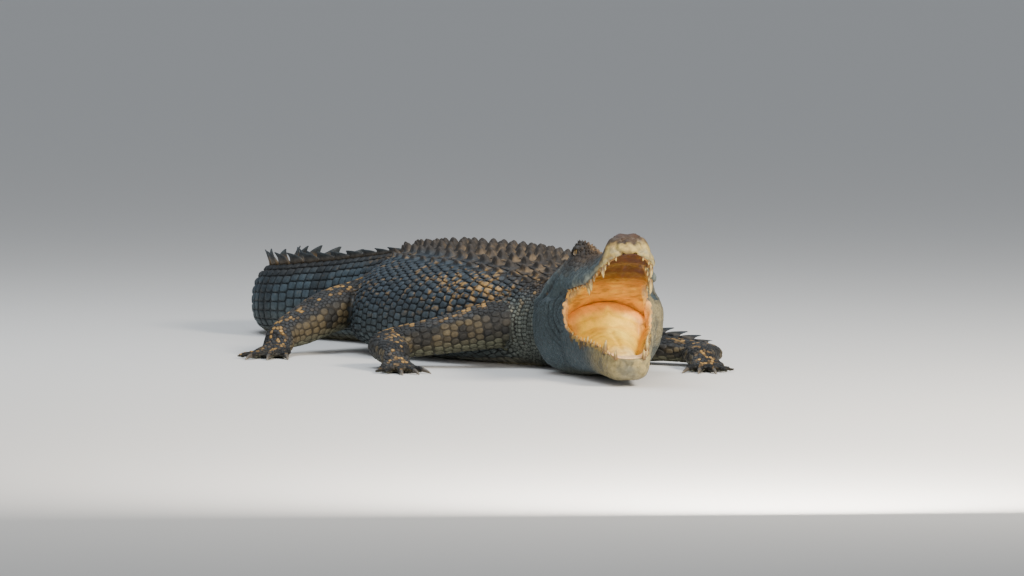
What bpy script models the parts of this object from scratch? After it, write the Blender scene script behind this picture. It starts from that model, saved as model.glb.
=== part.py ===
"""A Nile crocodile basking with its jaws agape, life size, as a still museum model.

Metres, +Z up. The trunk's axis lies along X with the head towards +X, the animal's left side is +Y, and the
origin is on the belly's flat, on the floor, below the middle of the trunk. The body is one long tube along a
spine that bends over the floor, parted by thin cuts into neck, trunk and tail lengths. Legs, feet and head
are set against it.
"""

import math

import bmesh
import bpy
import numpy as np
from mathutils import Matrix, Vector

# ---- Driving dimensions --------------------------------------------------------------------------

GAP = 0.0003  # clear space where two solids meet
HALF_CUT = GAP / 2
SLIVER = 0.00002  # edges shorter than this are closed up after a cut

# Stations along the spine, from the middle of the trunk, positive towards the tail.
NECK_FRONT = -0.83
NECK_BACK = -0.54
TRUNK_BACK = 0.56
TAIL_CUTS = [0.56, 1.14, 1.70, 2.26]
TAIL_TIP = 2.88

# Bends of the spine: (middle station, length of the bend, degrees). Positive turns the rear to the right.
NECK_BEND = (-0.56, 0.45, 15.5)
HIP_BEND = (0.60, 0.60, 21.0)
TAIL_BEND = (1.41, 0.96, -180.0)

# Knots of (station, metres) for the tube's half width, its height, and its clearance over the floor.
HALF_WIDTH = [(-0.83, 0.085), (-0.76, 0.122), (-0.62, 0.138), (-0.48, 0.180), (-0.28, 0.272), (0.0, 0.340),
              (0.16, 0.352), (0.32, 0.318), (0.45, 0.225), (0.58, 0.158), (0.80, 0.130), (1.10, 0.108),
              (1.35, 0.092), (1.70, 0.069), (2.20, 0.042), (2.60, 0.021), (2.88, 0.007)]
HEIGHT = [(-0.83, 0.140), (-0.76, 0.205), (-0.62, 0.232), (-0.48, 0.254), (-0.28, 0.282), (0.0, 0.295),
          (0.30, 0.295), (0.50, 0.280), (0.70, 0.260), (0.90, 0.237), (1.10, 0.217), (1.35, 0.202),
          (1.70, 0.160), (2.20, 0.105), (2.60, 0.056), (2.88, 0.016)]
LIFT = [(-0.83, 0.075), (-0.76, 0.042), (-0.62, 0.010), (-0.48, -0.006), (-0.28, -0.010), (0.42, -0.010),
        (0.58, -0.008), (1.5, -0.006), (2.3, -0.004), (2.88, -0.001)]
WIDEST = [(-0.83, 0.45), (-0.45, 0.42), (-0.15, 0.32), (0.30, 0.29), (0.55, 0.34), (0.80, 0.37), (1.40, 0.40),
          (2.20, 0.45), (2.88, 0.45)]
# The tail's roll on to its side, in degrees.
ROLL = [(-0.83, 0.0), (1.0, 0.0), (1.30, 6.0), (1.60, 20.0), (2.00, 50.0), (2.30, 64.0), (2.88, 68.0)]
BOXINESS = 2.3  # exponent of the superellipse sections

# Back plates: rows along the spine, and the keels across each row.
TRUNK_ROWS = 17
KEEL_SPACING = [0.030, 0.088, 0.146]  # from the midline to the inner, middle and outer keel at mid trunk
KEEL_HEIGHT = 0.017
KEEL_PLACE = 0.62  # share of a row at which its keels stand
NARROWEST_KEELS = 0.62  # the keels draw together no further than this share of their spacing
PLATE_EDGE = 1.14  # where the plates end, over the outer keel's distance
NAPE_KEEL = 0.006
NECK_RINGS = [0, 0.12, 0.28, 0.42, 0.58, 0.76, 1]  # shares of the neck's length
NAPE_KEEL_RINGS = (2, 4)
TAIL_WHORLS = [9, 9, 9, 10]  # in each length of the tail
CREST_PLACE = 0.60  # share of a whorl at which its crest rises
CREST_LEAN = 0.30  # share of a whorl by which its tips lean back
CREST_BLADE = 0.010  # half thickness of a crest's foot
CREST_THINNEST = 0.0032  # half thickness of the single crest's edge
CREST_GROOVE = 0.002  # height left between two whorls' tips
CREST_SPREAD = [(0.56, 0.062), (0.9, 0.050), (1.2, 0.036), (1.5, 0.018), (1.66, 0.004), (2.88, 0.0015)]
CREST_HEIGHT = [(0.56, 0.014), (0.8, 0.020), (1.1, 0.034), (1.3, 0.044), (1.6, 0.052), (2.1, 0.054),
                (2.6, 0.048), (2.78, 0.032), (2.88, 0.006)]

# The head: its frame has x forward from the jaw joint, y to the left and z up.
HEAD_STATION = -0.775  # where on the spine the jaw joint stands
JOINT_HEIGHT = 0.146
SNOUT_PITCH = 17.3
JAW_PITCH = -7.0
EYE_PLACE = (0.178, 0.066, 0.125)
EYE_RADIUS = 0.0195

# ---- Small tools ---------------------------------------------------------------------------------


def smooth_through(knots):
    """A cubic through (place, value) knots that never overshoots them."""
    x, y = np.array(knots, float).T
    step = np.diff(x)
    slope = np.diff(y) / step
    tangent = np.zeros(len(x))
    for i in range(1, len(x) - 1):
        if slope[i - 1] * slope[i] > 0:
            w1, w2 = 2 * step[i] + step[i - 1], step[i] + 2 * step[i - 1]
            tangent[i] = (w1 + w2) / (w1 / slope[i - 1] + w2 / slope[i])
    tangent[0], tangent[-1] = slope[0], slope[-1]

    def value(at):
        at = min(max(at, x[0]), x[-1])
        i = min(int(np.searchsorted(x, at, side="right")) - 1, len(step) - 1)
        t = (at - x[i]) / step[i]
        h00, h10 = (1 + 2 * t) * (1 - t) ** 2, t * (1 - t) ** 2
        h01, h11 = t * t * (3 - 2 * t), t * t * (t - 1)
        return h00 * y[i] + h10 * step[i] * tangent[i] + h01 * y[i + 1] + h11 * step[i] * tangent[i + 1]

    return value


def eased(t):
    t = min(max(t, 0.0), 1.0)
    return t * t * (3 - 2 * t)


def bump(distance, reach):
    return math.exp(-((distance / reach) ** 2))


half_width, height, lift = smooth_through(HALF_WIDTH), smooth_through(HEIGHT), smooth_through(LIFT)
widest = smooth_through(WIDEST)  # share of the height at which a section is widest
roll_at, crest_spread = smooth_through(ROLL), smooth_through(CREST_SPREAD)
crest_height = smooth_through(CREST_HEIGHT)


# ---- The spine -----------------------------------------------------------------------------------


def heading(s):
    """Degrees that the spine has turned at a station, counted from the trunk."""
    turned = 0.0
    for middle, length, degrees in (NECK_BEND, HIP_BEND, TAIL_BEND):
        turned += degrees * eased((s - middle) / length + 0.5)
    return turned - NECK_BEND[2]


def spine_track(step=0.005):
    """Stations and their places on the floor, from neck to tail tip, with station 0 at the origin."""
    stations = np.arange(NECK_FRONT - 0.05, TAIL_TIP + 0.05, step)
    angle = np.radians([heading(s + step / 2) for s in stations])
    x = np.concatenate([[0], np.cumsum(-np.cos(angle) * step)])[:-1]
    y = np.concatenate([[0], np.cumsum(-np.sin(angle) * step)])[:-1]
    return stations, x - np.interp(0, stations, x), y - np.interp(0, stations, y)


TRACK = spine_track()


def spine_frame(s):
    """(place, forward, left) at a station."""
    place = Vector((float(np.interp(s, TRACK[0], TRACK[1])), float(np.interp(s, TRACK[0], TRACK[2])), 0))
    angle = math.radians(heading(s))
    forward = Vector((math.cos(angle), math.sin(angle), 0))
    return place, forward, Vector((-forward.y, forward.x, 0))


# ---- Sections of the body ------------------------------------------------------------------------


def side_point(s, angle):
    """(across, up) of the bare body's outline at an angle, 90 degrees being the top."""
    a, h = half_width(s), height(s)
    c, n = math.cos(math.radians(angle)), math.sin(math.radians(angle))
    power = 2 / BOXINESS
    middle = widest(s) * h
    rise = h - middle if n > 0 else middle
    return a * math.copysign(abs(c) ** power, c), middle + rise * math.copysign(abs(n) ** power, n)


def top_point(s, across):
    """(across, up) of the bare body's upper outline at a distance from the midline."""
    a, h = half_width(s), height(s)
    share = (1 - min(abs(across) / a, 1) ** BOXINESS) ** (1 / BOXINESS)
    return across, h * (widest(s) + (1 - widest(s)) * share)


def trunk_section(s, keel):
    """Half a ring of the trunk, from the midline of the back to that of the belly, with its keels raised."""
    scale = half_width(s) / half_width(0)
    inner, middle, outer = (d * max(scale, NARROWEST_KEELS) for d in KEEL_SPACING)
    points = [top_point(s, 0)]
    for inside, keel_at in zip([0, inner, middle], [inner, middle, outer]):
        if inside:
            points.append(top_point(s, (inside + keel_at) / 2))
        across, up = top_point(s, keel_at)
        points.append((across, up + keel))
    points.append(top_point(s, outer * PLATE_EDGE))
    points += [side_point(s, angle) for angle in (36, 2, -38, -72)]
    points.append(side_point(s, -90))
    return points


def tail_section(s, crest):
    """Half a ring of the tail, with one blade of its crest; the two blades close up into one."""
    a = half_width(s)
    spread = min(crest_spread(s), 0.55 * a)
    blade = min(CREST_BLADE, 0.45 * a)
    closed = spread < blade
    edge = max(spread, min(CREST_THINNEST, 0.3 * a))
    valley = max(spread - blade, 0.5 * edge)
    filled = crest if closed else 0
    points = [(0, top_point(s, 0)[1] + filled)]
    points.append((valley, top_point(s, valley)[1] + filled))
    points.append((edge, top_point(s, edge)[1] + crest))
    points.append(top_point(s, edge + blade))
    points += [side_point(s, angle) for angle in (34, 0, -36, -68)]
    points.append(side_point(s, -90))
    return points


def ring(s, half, grow=0.0, lean=0.0, peaks=()):
    """The world points of a ring: half and its mirror image, rolled, set on the floor, and cut flat there.

    lean moves the points listed in peaks back along the tail.
    """
    outline = list(half) + [(-y, z) for y, z in half[-2:0:-1]]
    centre = widest(s) * height(s)
    angle = math.radians(roll_at(s))
    bare = [side_point(s, a) for a in range(-180, 181, 15)]
    lowest = min(y * math.sin(angle) + (z - centre) * math.cos(angle) for y, z in bare)
    points = []
    for i, (y, z) in enumerate(outline):
        out = math.hypot(y, z - centre) or 1
        y, z = y * (1 + grow / out), centre + (z - centre) * (1 + grow / out)
        across = y * math.cos(angle) - (z - centre) * math.sin(angle)
        up = y * math.sin(angle) + (z - centre) * math.cos(angle)
        along = s + (lean if i in peaks else 0)
        place, _, left = spine_frame(along)
        points.append(place + left * across + Vector((0, 0, max(up - lowest + lift(s), -grow))))
    return points


# ---- Meshes --------------------------------------------------------------------------------------


def loft(rings):
    """A closed mesh through rings of equally many points."""
    mesh = bmesh.new()
    rows = [[mesh.verts.new(point) for point in points] for points in rings]
    for front, back in zip(rows, rows[1:]):
        for i in range(len(front)):
            j = (i + 1) % len(front)
            mesh.faces.new((front[i], front[j], back[j], back[i]))
    mesh.faces.new(rows[0][::-1])
    mesh.faces.new(rows[-1])
    bmesh.ops.recalc_face_normals(mesh, faces=mesh.faces)
    bmesh.ops.triangulate(mesh, faces=mesh.faces)
    if mesh.calc_volume(signed=True) < 0:
        bmesh.ops.reverse_faces(mesh, faces=mesh.faces)
    data = bpy.data.meshes.new("loft")
    mesh.to_mesh(data)
    mesh.free()
    return data


def ball(centre, radius, frame, segments=10):
    mesh = bmesh.new()
    bmesh.ops.create_uvsphere(mesh, u_segments=segments, v_segments=segments // 2, radius=radius)
    mesh.transform(frame @ Matrix.Translation(centre))
    data = bpy.data.meshes.new("ball")
    mesh.to_mesh(data)
    mesh.free()
    return data


def on_floor(points):
    """The points with those below the floor lifted on to it."""
    return [Vector((p.x, p.y, max(p.z, 0))) for p in points]


def oval(centre, side, up, wide, tall, sides):
    """Points round an oval, from a little above its side."""
    turns = [2 * math.pi * (k + 0.5) / sides for k in range(sides)]
    return [centre + side * wide * math.cos(turn) + up * tall * math.sin(turn) for turn in turns]


def sideways(ahead):
    """(side, up) across a direction, with the side level."""
    side = ahead.cross(Vector((0, 0, 1))).normalized()
    return side, side.cross(ahead)


def tube(points, radii, sides):
    """A closed round tube along points, flattened where it meets the floor."""
    rings = []
    for i, (point, radius) in enumerate(zip(points, radii)):
        ahead = (points[min(i + 1, len(points) - 1)] - points[max(i - 1, 0)]).normalized()
        side, up = sideways(ahead)
        rings.append(on_floor(oval(point, side, up, radius, radius, sides)))
    return loft(rings)


# ---- Objects -------------------------------------------------------------------------------------


def material(name, colour, roughness):
    made = bpy.data.materials.new(name)
    made.use_nodes = True
    shader = made.node_tree.nodes["Principled BSDF"]
    shader.inputs["Base Color"].default_value = (*colour, 1)
    shader.inputs["Roughness"].default_value = roughness
    return made


def add(name, data, finish, collection):
    obj = bpy.data.objects.new(name, data)
    obj.data.materials.clear()
    obj.data.materials.append(finish)
    collection.objects.link(obj)
    return obj


def keep_largest(data):
    """The mesh without the crumbs and slivers that a cut can leave."""
    mesh = bmesh.new()
    mesh.from_mesh(data)
    left, bodies = set(mesh.verts), []
    while left:
        body, edge = set(), {next(iter(left))}
        while edge:
            body |= edge
            edge = {e.other_vert(v) for v in edge for e in v.link_edges} - body
        bodies.append(body)
        left -= body
    largest = max(bodies, key=len)
    bmesh.ops.delete(mesh, geom=[v for v in mesh.verts if v not in largest], context="VERTS")
    bmesh.ops.dissolve_degenerate(mesh, dist=SLIVER, edges=mesh.edges)
    mesh.to_mesh(data)
    mesh.free()
    return data


def cut_or_join(obj, others, operation):
    """Applies one Boolean for each of the other meshes to obj's own mesh.

    The solver is MANIFOLD because EXACT leaves the neck and the upper legs empty; every mesh here is closed.
    """
    for data in others:
        other = bpy.data.objects.new("cutter", data)
        other.hide_render = True
        other.display_type = "WIRE"
        bpy.data.collections["cutters"].objects.link(other)
        modifier = obj.modifiers.new("boolean", "BOOLEAN")
        modifier.operation = operation
        modifier.solver = "MANIFOLD"
        modifier.object = other
        bpy.context.view_layer.update()
        graph = bpy.context.evaluated_depsgraph_get()
        result = bpy.data.meshes.new_from_object(obj.evaluated_get(graph))
        obj.modifiers.clear()
        obj.data = keep_largest(result)
        bpy.data.objects.remove(other)
    return obj


# ---- Body ----------------------------------------------------------------------------------------


def neck(grow=0.0):
    front, back = NECK_FRONT - grow, NECK_BACK - HALF_CUT + grow
    stations = [front + (back - front) * share for share in NECK_RINGS]
    keels = [NAPE_KEEL if i in NAPE_KEEL_RINGS else 0 for i in range(len(stations))]
    return loft([ring(s, trunk_section(s, keel), grow) for s, keel in zip(stations, keels)])


def trunk(grow=0.0):
    """Two rings to a row of plates: one in the groove, one across the keels."""
    front, back = NECK_BACK + HALF_CUT, TRUNK_BACK - HALF_CUT
    pitch = (back - front) / TRUNK_ROWS
    rings = []
    for row in range(TRUNK_ROWS):
        start = front + row * pitch
        fade = min(1.0, 0.5 + row / 8)
        rings.append(ring(start - (grow if row == 0 else 0), trunk_section(start, 0), grow))
        top = start + KEEL_PLACE * pitch
        rings.append(ring(top, trunk_section(top, KEEL_HEIGHT * fade), grow))
    rings.append(ring(back + grow, trunk_section(back, 0), grow))
    return loft(rings)


def tail_length(front, back, whorls):
    """A length of tail: each whorl has a ring in its groove and a ring whose crest leans back."""
    front, back = front + HALF_CUT, back - HALF_CUT
    pitch = (back - front) / whorls
    tips = (1, 2, 14, 15)  # the points of a tail ring that carry the crest's edges
    rings = []
    for whorl in range(whorls):
        start = front + whorl * pitch
        rings.append(ring(start, tail_section(start, CREST_GROOVE)))
        top = start + CREST_PLACE * pitch
        rings.append(ring(top, tail_section(top, crest_height(top)), lean=CREST_LEAN * pitch, peaks=tips))
    rings.append(ring(back, tail_section(back, CREST_GROOVE)))
    return loft(rings)


# ---- Head ----------------------------------------------------------------------------------------

# Knots of (x, metres) in the upper jaw's own frame, whose z is 0 along the tooth line.
HEAD_WIDTH = [(-0.03, 0.146), (0.03, 0.150), (0.08, 0.141), (0.12, 0.131), (0.18, 0.118), (0.25, 0.104),
              (0.32, 0.094), (0.41, 0.089), (0.455, 0.076), (0.495, 0.062), (0.54, 0.072), (0.58, 0.061),
              (0.60, 0.032)]
HEAD_TOP = [(-0.03, 0.110), (0.035, 0.138), (0.13, 0.140), (0.18, 0.119), (0.25, 0.102), (0.34, 0.084),
            (0.44, 0.068), (0.52, 0.062), (0.562, 0.074), (0.59, 0.064), (0.60, 0.046)]
HEAD_LIP = [(-0.03, 0.030), (0.10, 0.034), (0.17, 0.028), (0.22, 0.017), (0.29, 0.009), (0.41, -0.012),
            (0.495, 0.012), (0.54, -0.008), (0.585, 0.0), (0.60, 0.008)]
PALATE = [(-0.03, 0.016), (0.10, 0.008), (0.21, 0.0), (0.29, 0.018), (0.41, -0.002), (0.495, 0.022),
          (0.54, 0.002), (0.585, 0.010), (0.60, 0.018)]
TABLE_WIDTH = [(-0.03, 0.066), (0.035, 0.086), (0.13, 0.076), (0.18, 0.074), (0.24, 0.048), (0.34, 0.036),
               (0.44, 0.034), (0.52, 0.036), (0.565, 0.041), (0.60, 0.016)]
HEAD_RINGS = [-0.03, 0.02, 0.08, 0.13, 0.16, 0.178, 0.20, 0.23, 0.28, 0.34, 0.40, 0.44, 0.47, 0.495, 0.52,
              0.545, 0.57, 0.59, 0.60]
EYE_HUMP = 0.036
NOSE_HUMP = 0.006

# Knots of (x, metres) in the lower jaw's frame, whose z is 0 along its tooth line.
JAW_WIDTH = [(-0.13, 0.105), (-0.08, 0.146), (0.0, 0.172), (0.05, 0.162), (0.12, 0.136), (0.20, 0.116),
             (0.30, 0.095), (0.42, 0.075), (0.49, 0.063), (0.545, 0.058), (0.575, 0.044), (0.585, 0.022)]
JAW_BOTTOM = [(-0.13, -0.110), (-0.06, -0.150), (0.03, -0.148), (0.14, -0.126), (0.26, -0.102),
              (0.40, -0.082), (0.52, -0.070), (0.57, -0.056), (0.585, -0.036)]
JAW_LIP = [(-0.13, 0.01), (-0.06, 0.05), (0.01, 0.056), (0.06, 0.062), (0.11, 0.080), (0.145, 0.094),
           (0.165, 0.052), (0.195, 0.008), (0.30, -0.004), (0.42, 0.006), (0.56, 0.004), (0.585, -0.004)]
WEB_FOOT = 0.060  # height of the jaw's lip from where it is the web of the mouth's corner
WEB_LEAN = 0.6  # how far the web leans inwards for its height
MOUTH_FLOOR = [(-0.13, 0.012), (0.03, 0.056), (0.09, 0.050), (0.12, 0.022), (0.16, -0.012), (0.22, -0.030),
               (0.30, -0.034), (0.42, -0.032), (0.50, -0.020), (0.54, -0.004), (0.585, -0.004)]
GUM = 0.016  # thickness of the jaw's rim
JAW_RINGS = [-0.13, -0.09, -0.04, 0.01, 0.055, 0.10, 0.145, 0.165, 0.195, 0.24, 0.30, 0.38, 0.45, 0.50,
             0.545, 0.575, 0.585]

TONGUE_RINGS = [(0.135, 0.60, 0.010), (0.18, 0.90, 0.030), (0.26, 0.93, 0.034), (0.34, 0.90, 0.030),
                (0.42, 0.80, 0.022), (0.47, 0.45, 0.008)]  # place along the jaw, share of the width, height
TONGUE_MARGIN = 0.014  # left beside it, within the gums
TONGUE_ROOT = 0.008

# Teeth of one side from the front: places along the jaw and lengths out of the gum.
UPPER_TEETH = [(0.592, 0.012), (0.578, 0.016), (0.560, 0.021), (0.540, 0.026), (0.518, 0.014), (0.472, 0.013),
               (0.456, 0.017), (0.440, 0.021), (0.422, 0.027), (0.402, 0.031), (0.378, 0.021), (0.352, 0.016),
               (0.326, 0.017), (0.300, 0.019), (0.274, 0.018), (0.248, 0.015), (0.223, 0.012), (0.199, 0.010)]
LOWER_TEETH = [(0.574, 0.024), (0.556, 0.014), (0.534, 0.016), (0.508, 0.030), (0.480, 0.014), (0.456, 0.013),
               (0.432, 0.014), (0.408, 0.016), (0.382, 0.019), (0.355, 0.022), (0.327, 0.018), (0.298, 0.014),
               (0.268, 0.012), (0.238, 0.011), (0.208, 0.010)]
TOOTH_ROOT = 0.010  # how deep a tooth sits in the gum
TOOTH_SLENDER = 0.26  # radius over length
TOOTH_LEAN = 8  # degrees outwards
UPPER_INSET, LOWER_INSET = 0.011, 0.009  # of the tooth rows from the jaws' sides

head_width, head_top = smooth_through(HEAD_WIDTH), smooth_through(HEAD_TOP)
head_lip, head_palate = smooth_through(HEAD_LIP), smooth_through(PALATE)
table_width, jaw_width = smooth_through(TABLE_WIDTH), smooth_through(JAW_WIDTH)
jaw_bottom, jaw_lip = smooth_through(JAW_BOTTOM), smooth_through(JAW_LIP)
mouth_floor = smooth_through(MOUTH_FLOOR)


def head_frame(pitch):
    """The world matrix of a jaw that is pitched up by some degrees about the jaw joint."""
    place, _, _ = spine_frame(HEAD_STATION)
    turn = Matrix.Rotation(math.radians(heading(HEAD_STATION)), 4, "Z")
    lift_up = Matrix.Rotation(math.radians(-pitch), 4, "Y")
    return Matrix.Translation(place + Vector((0, 0, JOINT_HEIGHT))) @ turn @ lift_up


UPPER = head_frame(SNOUT_PITCH)
LOWER = head_frame(JAW_PITCH)


def mirrored_ring(x, half, matrix):
    """A ring across the head from half an outline, from the midline above to the midline below."""
    outline = [(-y, z) for y, z in half] + [(y, z) for y, z in half[-2:0:-1]]
    return on_floor([matrix @ Vector((x, y, z)) for y, z in outline])


def head_section(x):
    w, top, lip, table = head_width(x), head_top(x), head_lip(x), table_width(x)
    palate = head_palate(x)
    hump = EYE_HUMP * bump(x - EYE_PLACE[0], 0.030)
    nose = NOSE_HUMP * bump(x - 0.562, 0.018)
    tall = top - lip
    return [
        (0, top - 0.1 * hump + 0.4 * nose),
        (0.50 * table, top + 0.80 * hump + nose),
        (0.92 * table, top + hump),
        (table + 0.25 * (w - table), top - 0.14 * tall + 0.35 * hump),
        (table + 0.72 * (w - table), lip + 0.52 * tall),
        (w * 0.99, lip + 0.24 * tall),
        (w, lip + 0.005),
        (w - 0.005, lip),
        (w - 0.016, lip + 0.002),
        (max(w - 0.024, 0.4 * w), palate),
        (0, palate + 0.006),
    ]


def jaw_section(x):
    w, low, lip, floor = jaw_width(x), jaw_bottom(x), jaw_lip(x), mouth_floor(x)
    rim = min(GUM, 0.35 * w)
    edge = w - WEB_LEAN * max(lip - WEB_FOOT, 0)
    return [
        (0, floor),
        (max(w - rim - 0.020, 0.35 * w), floor + 0.002),
        (edge - rim, max(lip - 0.006, floor + 0.003)),
        (edge - 0.5 * rim, lip),
        (edge - 0.003, lip - 0.004),
        (w, lip + 0.28 * (low - lip)),
        (0.96 * w, lip + 0.58 * (low - lip)),
        (0.78 * w, lip + 0.86 * (low - lip)),
        (0.42 * w, low),
        (0, low),
    ]


def tongue_shape():
    """A low cushion between the gums, sunk into the floor of the mouth for the jaw to trim."""
    rings = []
    for x, share, rise in TONGUE_RINGS:
        w, floor = (jaw_width(x) - GUM - TONGUE_MARGIN) * share, mouth_floor(x)
        half = [(0, floor + rise * 0.86), (0.5 * w, floor + rise), (0.9 * w, floor + 0.7 * rise), (w, floor),
                (0, floor - TONGUE_ROOT)]
        rings.append(mirrored_ring(x, half, LOWER))
    return loft(rings)


def tooth(matrix, x, y, z, length, direction, outward):
    """A pointed, slightly outward leaning cone from inside the gum to the tip."""
    mesh = bmesh.new()
    bmesh.ops.create_cone(mesh, cap_ends=True, segments=4, radius1=TOOTH_SLENDER * length + 0.0012, radius2=0,
                          depth=length + TOOTH_ROOT)
    lean = Matrix.Rotation(math.radians(TOOTH_LEAN * outward * direction), 4, "X")
    face = Matrix.Rotation(0 if direction > 0 else math.pi, 4, "X")
    middle = Matrix.Translation((x, y, z + direction * (length - TOOTH_ROOT) / 2))
    mesh.transform(matrix @ middle @ lean @ face)
    return mesh


def teeth(matrix, row, width, lip, inset, direction):
    """All the teeth of a jaw as one mesh of separate closed cones."""
    whole = bmesh.new()
    for x, length in row:
        for side in (-1, 1):
            one = tooth(matrix, x, side * (width(x) - inset), lip(x), length, direction, side)
            data = bpy.data.meshes.new("tooth")
            one.to_mesh(data)
            one.free()
            whole.from_mesh(data)
    data = bpy.data.meshes.new("teeth")
    whole.to_mesh(data)
    whole.free()
    return data


def grown(data, by):
    """A copy of a closed mesh whose faces have moved outwards."""
    mesh = bmesh.new()
    mesh.from_mesh(data)
    mesh.normal_update()
    moves = [(v, v.normal * by * v.calc_shell_factor()) for v in mesh.verts]
    for vertex, move in moves:
        vertex.co += move
    copy = bpy.data.meshes.new("grown")
    mesh.to_mesh(copy)
    mesh.free()
    return copy


# ---- Legs ----------------------------------------------------------------------------------------

# Joints of each leg on the right side, as (x, y, z), and the way its foot points in degrees.
FORE_RIGHT = {"root": (0.44, -0.06, 0.120), "shoulder": (0.425, -0.19, 0.112), "bend": (0.340, -0.465, 0.058),
              "end": (0.495, -0.515, 0.034), "heading": -16}
FORE_LEFT = {"root": (0.42, 0.06, 0.090), "shoulder": (0.440, 0.190, 0.050), "bend": (0.606, 0.305, 0.034),
             "end": (0.765, 0.240, 0.030), "heading": -12}
HIND_RIGHT = {"root": (-0.455, -0.04, 0.150), "shoulder": (-0.445, -0.13, 0.150),
              "bend": (-0.330, -0.375, 0.108), "end": (-0.238, -0.545, 0.050), "heading": -38}
HIND_LEFT = {"root": (-0.455, 0.04, 0.150), "shoulder": (-0.445, 0.13, 0.145), "bend": (-0.345, 0.372, 0.106),
             "end": (-0.245, 0.465, 0.050), "heading": 4}
FORE_RADII = [0.060, 0.066, 0.056, 0.050, 0.048, 0.038]
HIND_RADII = [0.070, 0.076, 0.064, 0.058, 0.060, 0.046]
FORE_FLAT = [1.0, 1.0, 0.95, 0.88, 0.84, 0.80]
FORE_LEFT_FLAT = [1.0, 0.74, 0.64, 0.64, 0.70, 0.78]  # this limb lies slack on the floor
HIND_FLAT = [1.0, 1.05, 1.05, 1.05, 0.90, 0.85]

# Toes from the inner one outwards: degrees from the foot's heading, length past the palm, and radius.
FORE_TOES = [(-38, 0.058, 0.0115), (-18, 0.074, 0.0115), (0, 0.080, 0.0110), (19, 0.070, 0.0100),
             (38, 0.054, 0.0090)]
HIND_TOES = [(-26, 0.078, 0.0125), (-8, 0.098, 0.0125), (10, 0.100, 0.0120), (29, 0.080, 0.0105)]
FORE_PALM = (0.075, 0.052)  # length, and half width at the front
HIND_PALM = (0.105, 0.056)
CLAWED = 3  # the inner toes that carry claws
CLAW_LENGTH = 0.027
LIMB_SIDES = 10
KNEE_WIDER = 1.22  # elbow or knee, over the limb's radius there
# Palm: share of its length, share of its width, half thickness, and height of the middle.
PALM_RINGS = [(0.45, 0.80, 0.021, 0.020), (0.85, 1.0, 0.015, 0.014), (1.0, 0.94, 0.010, 0.011)]
# Toe: share of its length, then the height of its middle and its thickness, both over its radius.
TOE_RINGS = [(0.0, 1.25, 1.0), (0.65, 0.97, 0.9), (1.0, 0.72, 0.6)]


def leg_rings(leg, radii, flat):
    """Rings from the root to the wrist or ankle, two to each length of the limb."""
    root, shoulder, bend, end = (Vector(leg[k]) for k in ("root", "shoulder", "bend", "end"))
    points = [root, shoulder, (shoulder + bend) / 2, bend, bend * 0.45 + end * 0.55, end]
    rings, aheads = [], []
    for i, point in enumerate(points):
        if i == 3:
            ahead = (bend - shoulder).normalized() + (end - bend).normalized()
        else:
            ahead = points[min(i + 1, 5)] - points[max(i - 1, 0)]
        ahead.normalize()
        if i == 5:
            angle = math.radians(leg["heading"])
            ahead = (ahead + Vector((math.cos(angle), math.sin(angle), 0))).normalized()
        side, up = sideways(ahead)
        wide = radii[i] * (KNEE_WIDER if i == 3 else 1)
        rings.append(oval(point, side, up, wide, radii[i] * flat[i], LIMB_SIDES))
        aheads.append(ahead)
    return rings, aheads


def limb_length(rings, aheads, first, last):
    """The closed length between two rings, half a cut short of the next length at the bend and the foot."""
    chosen = []
    for i in range(first, last + 1):
        shift = Vector((0, 0, 0))
        if i == first and i > 0:
            shift = aheads[i] * HALF_CUT
        elif i == last:
            shift = -aheads[i] * HALF_CUT
        chosen.append(on_floor([p + shift for p in rings[i]]))
    return loft(chosen)


def foot(leg, rings, aheads, side, palm, toes):
    """(palm, toes and claws): the palm spreads from the ankle's ring to a flat front over the floor."""
    length, half = palm
    angle = math.radians(leg["heading"])
    way = Vector((math.cos(angle), math.sin(angle), 0))
    across = Vector((-way.y, way.x, 0))
    ankle = Vector(leg["end"])
    start = [p + aheads[5] * HALF_CUT for p in rings[5]]
    sections = [on_floor(start)]
    for share, wide, tall, centre in PALM_RINGS:
        middle = Vector((ankle.x, ankle.y, centre)) + way * length * share
        sections.append(on_floor(oval(middle, -across, Vector((0, 0, 1)), half * wide, tall, LIMB_SIDES)))
    base = loft(sections)
    extras = []
    for number, (spread, reach, radius) in enumerate(toes):
        turn = angle + math.radians(side * spread)
        along_toe = Vector((math.cos(turn), math.sin(turn), 0))
        origin = ankle + way * length * 0.35
        origin.z = 0
        knuckles = []
        for share, high, _ in TOE_RINGS:
            place = origin + along_toe * (length * 0.65 - radius + (reach + radius) * share)
            knuckles.append(place + Vector((0, 0, radius * high)))
        extras.append(tube(knuckles, [radius * thick for _, _, thick in TOE_RINGS], sides=6))
        if number < CLAWED:
            tip = knuckles[-1] + Vector((0, 0, radius * 0.13)) - along_toe * 0.008
            claw = [tip, tip + along_toe * 0.6 * CLAW_LENGTH + Vector((0, 0, -0.001)),
                    tip + along_toe * (CLAW_LENGTH + 0.008) + Vector((0, 0, 0.0015 - tip.z))]
            extras.append(tube(claw, [radius * 0.52, radius * 0.40, 0.0008], sides=4))
    return base, extras


# ---- The animal ----------------------------------------------------------------------------------

HIDE_DARK = (0.075, 0.080, 0.075)
HIDE_FLANK = (0.200, 0.210, 0.190)
HIDE_TAIL = (0.120, 0.135, 0.135)
HIDE_LEG = (0.150, 0.135, 0.085)
HIDE_THROAT = (0.380, 0.390, 0.320)
FLESH = (0.720, 0.430, 0.230)
EYE_GREEN = (0.180, 0.160, 0.050)


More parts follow.
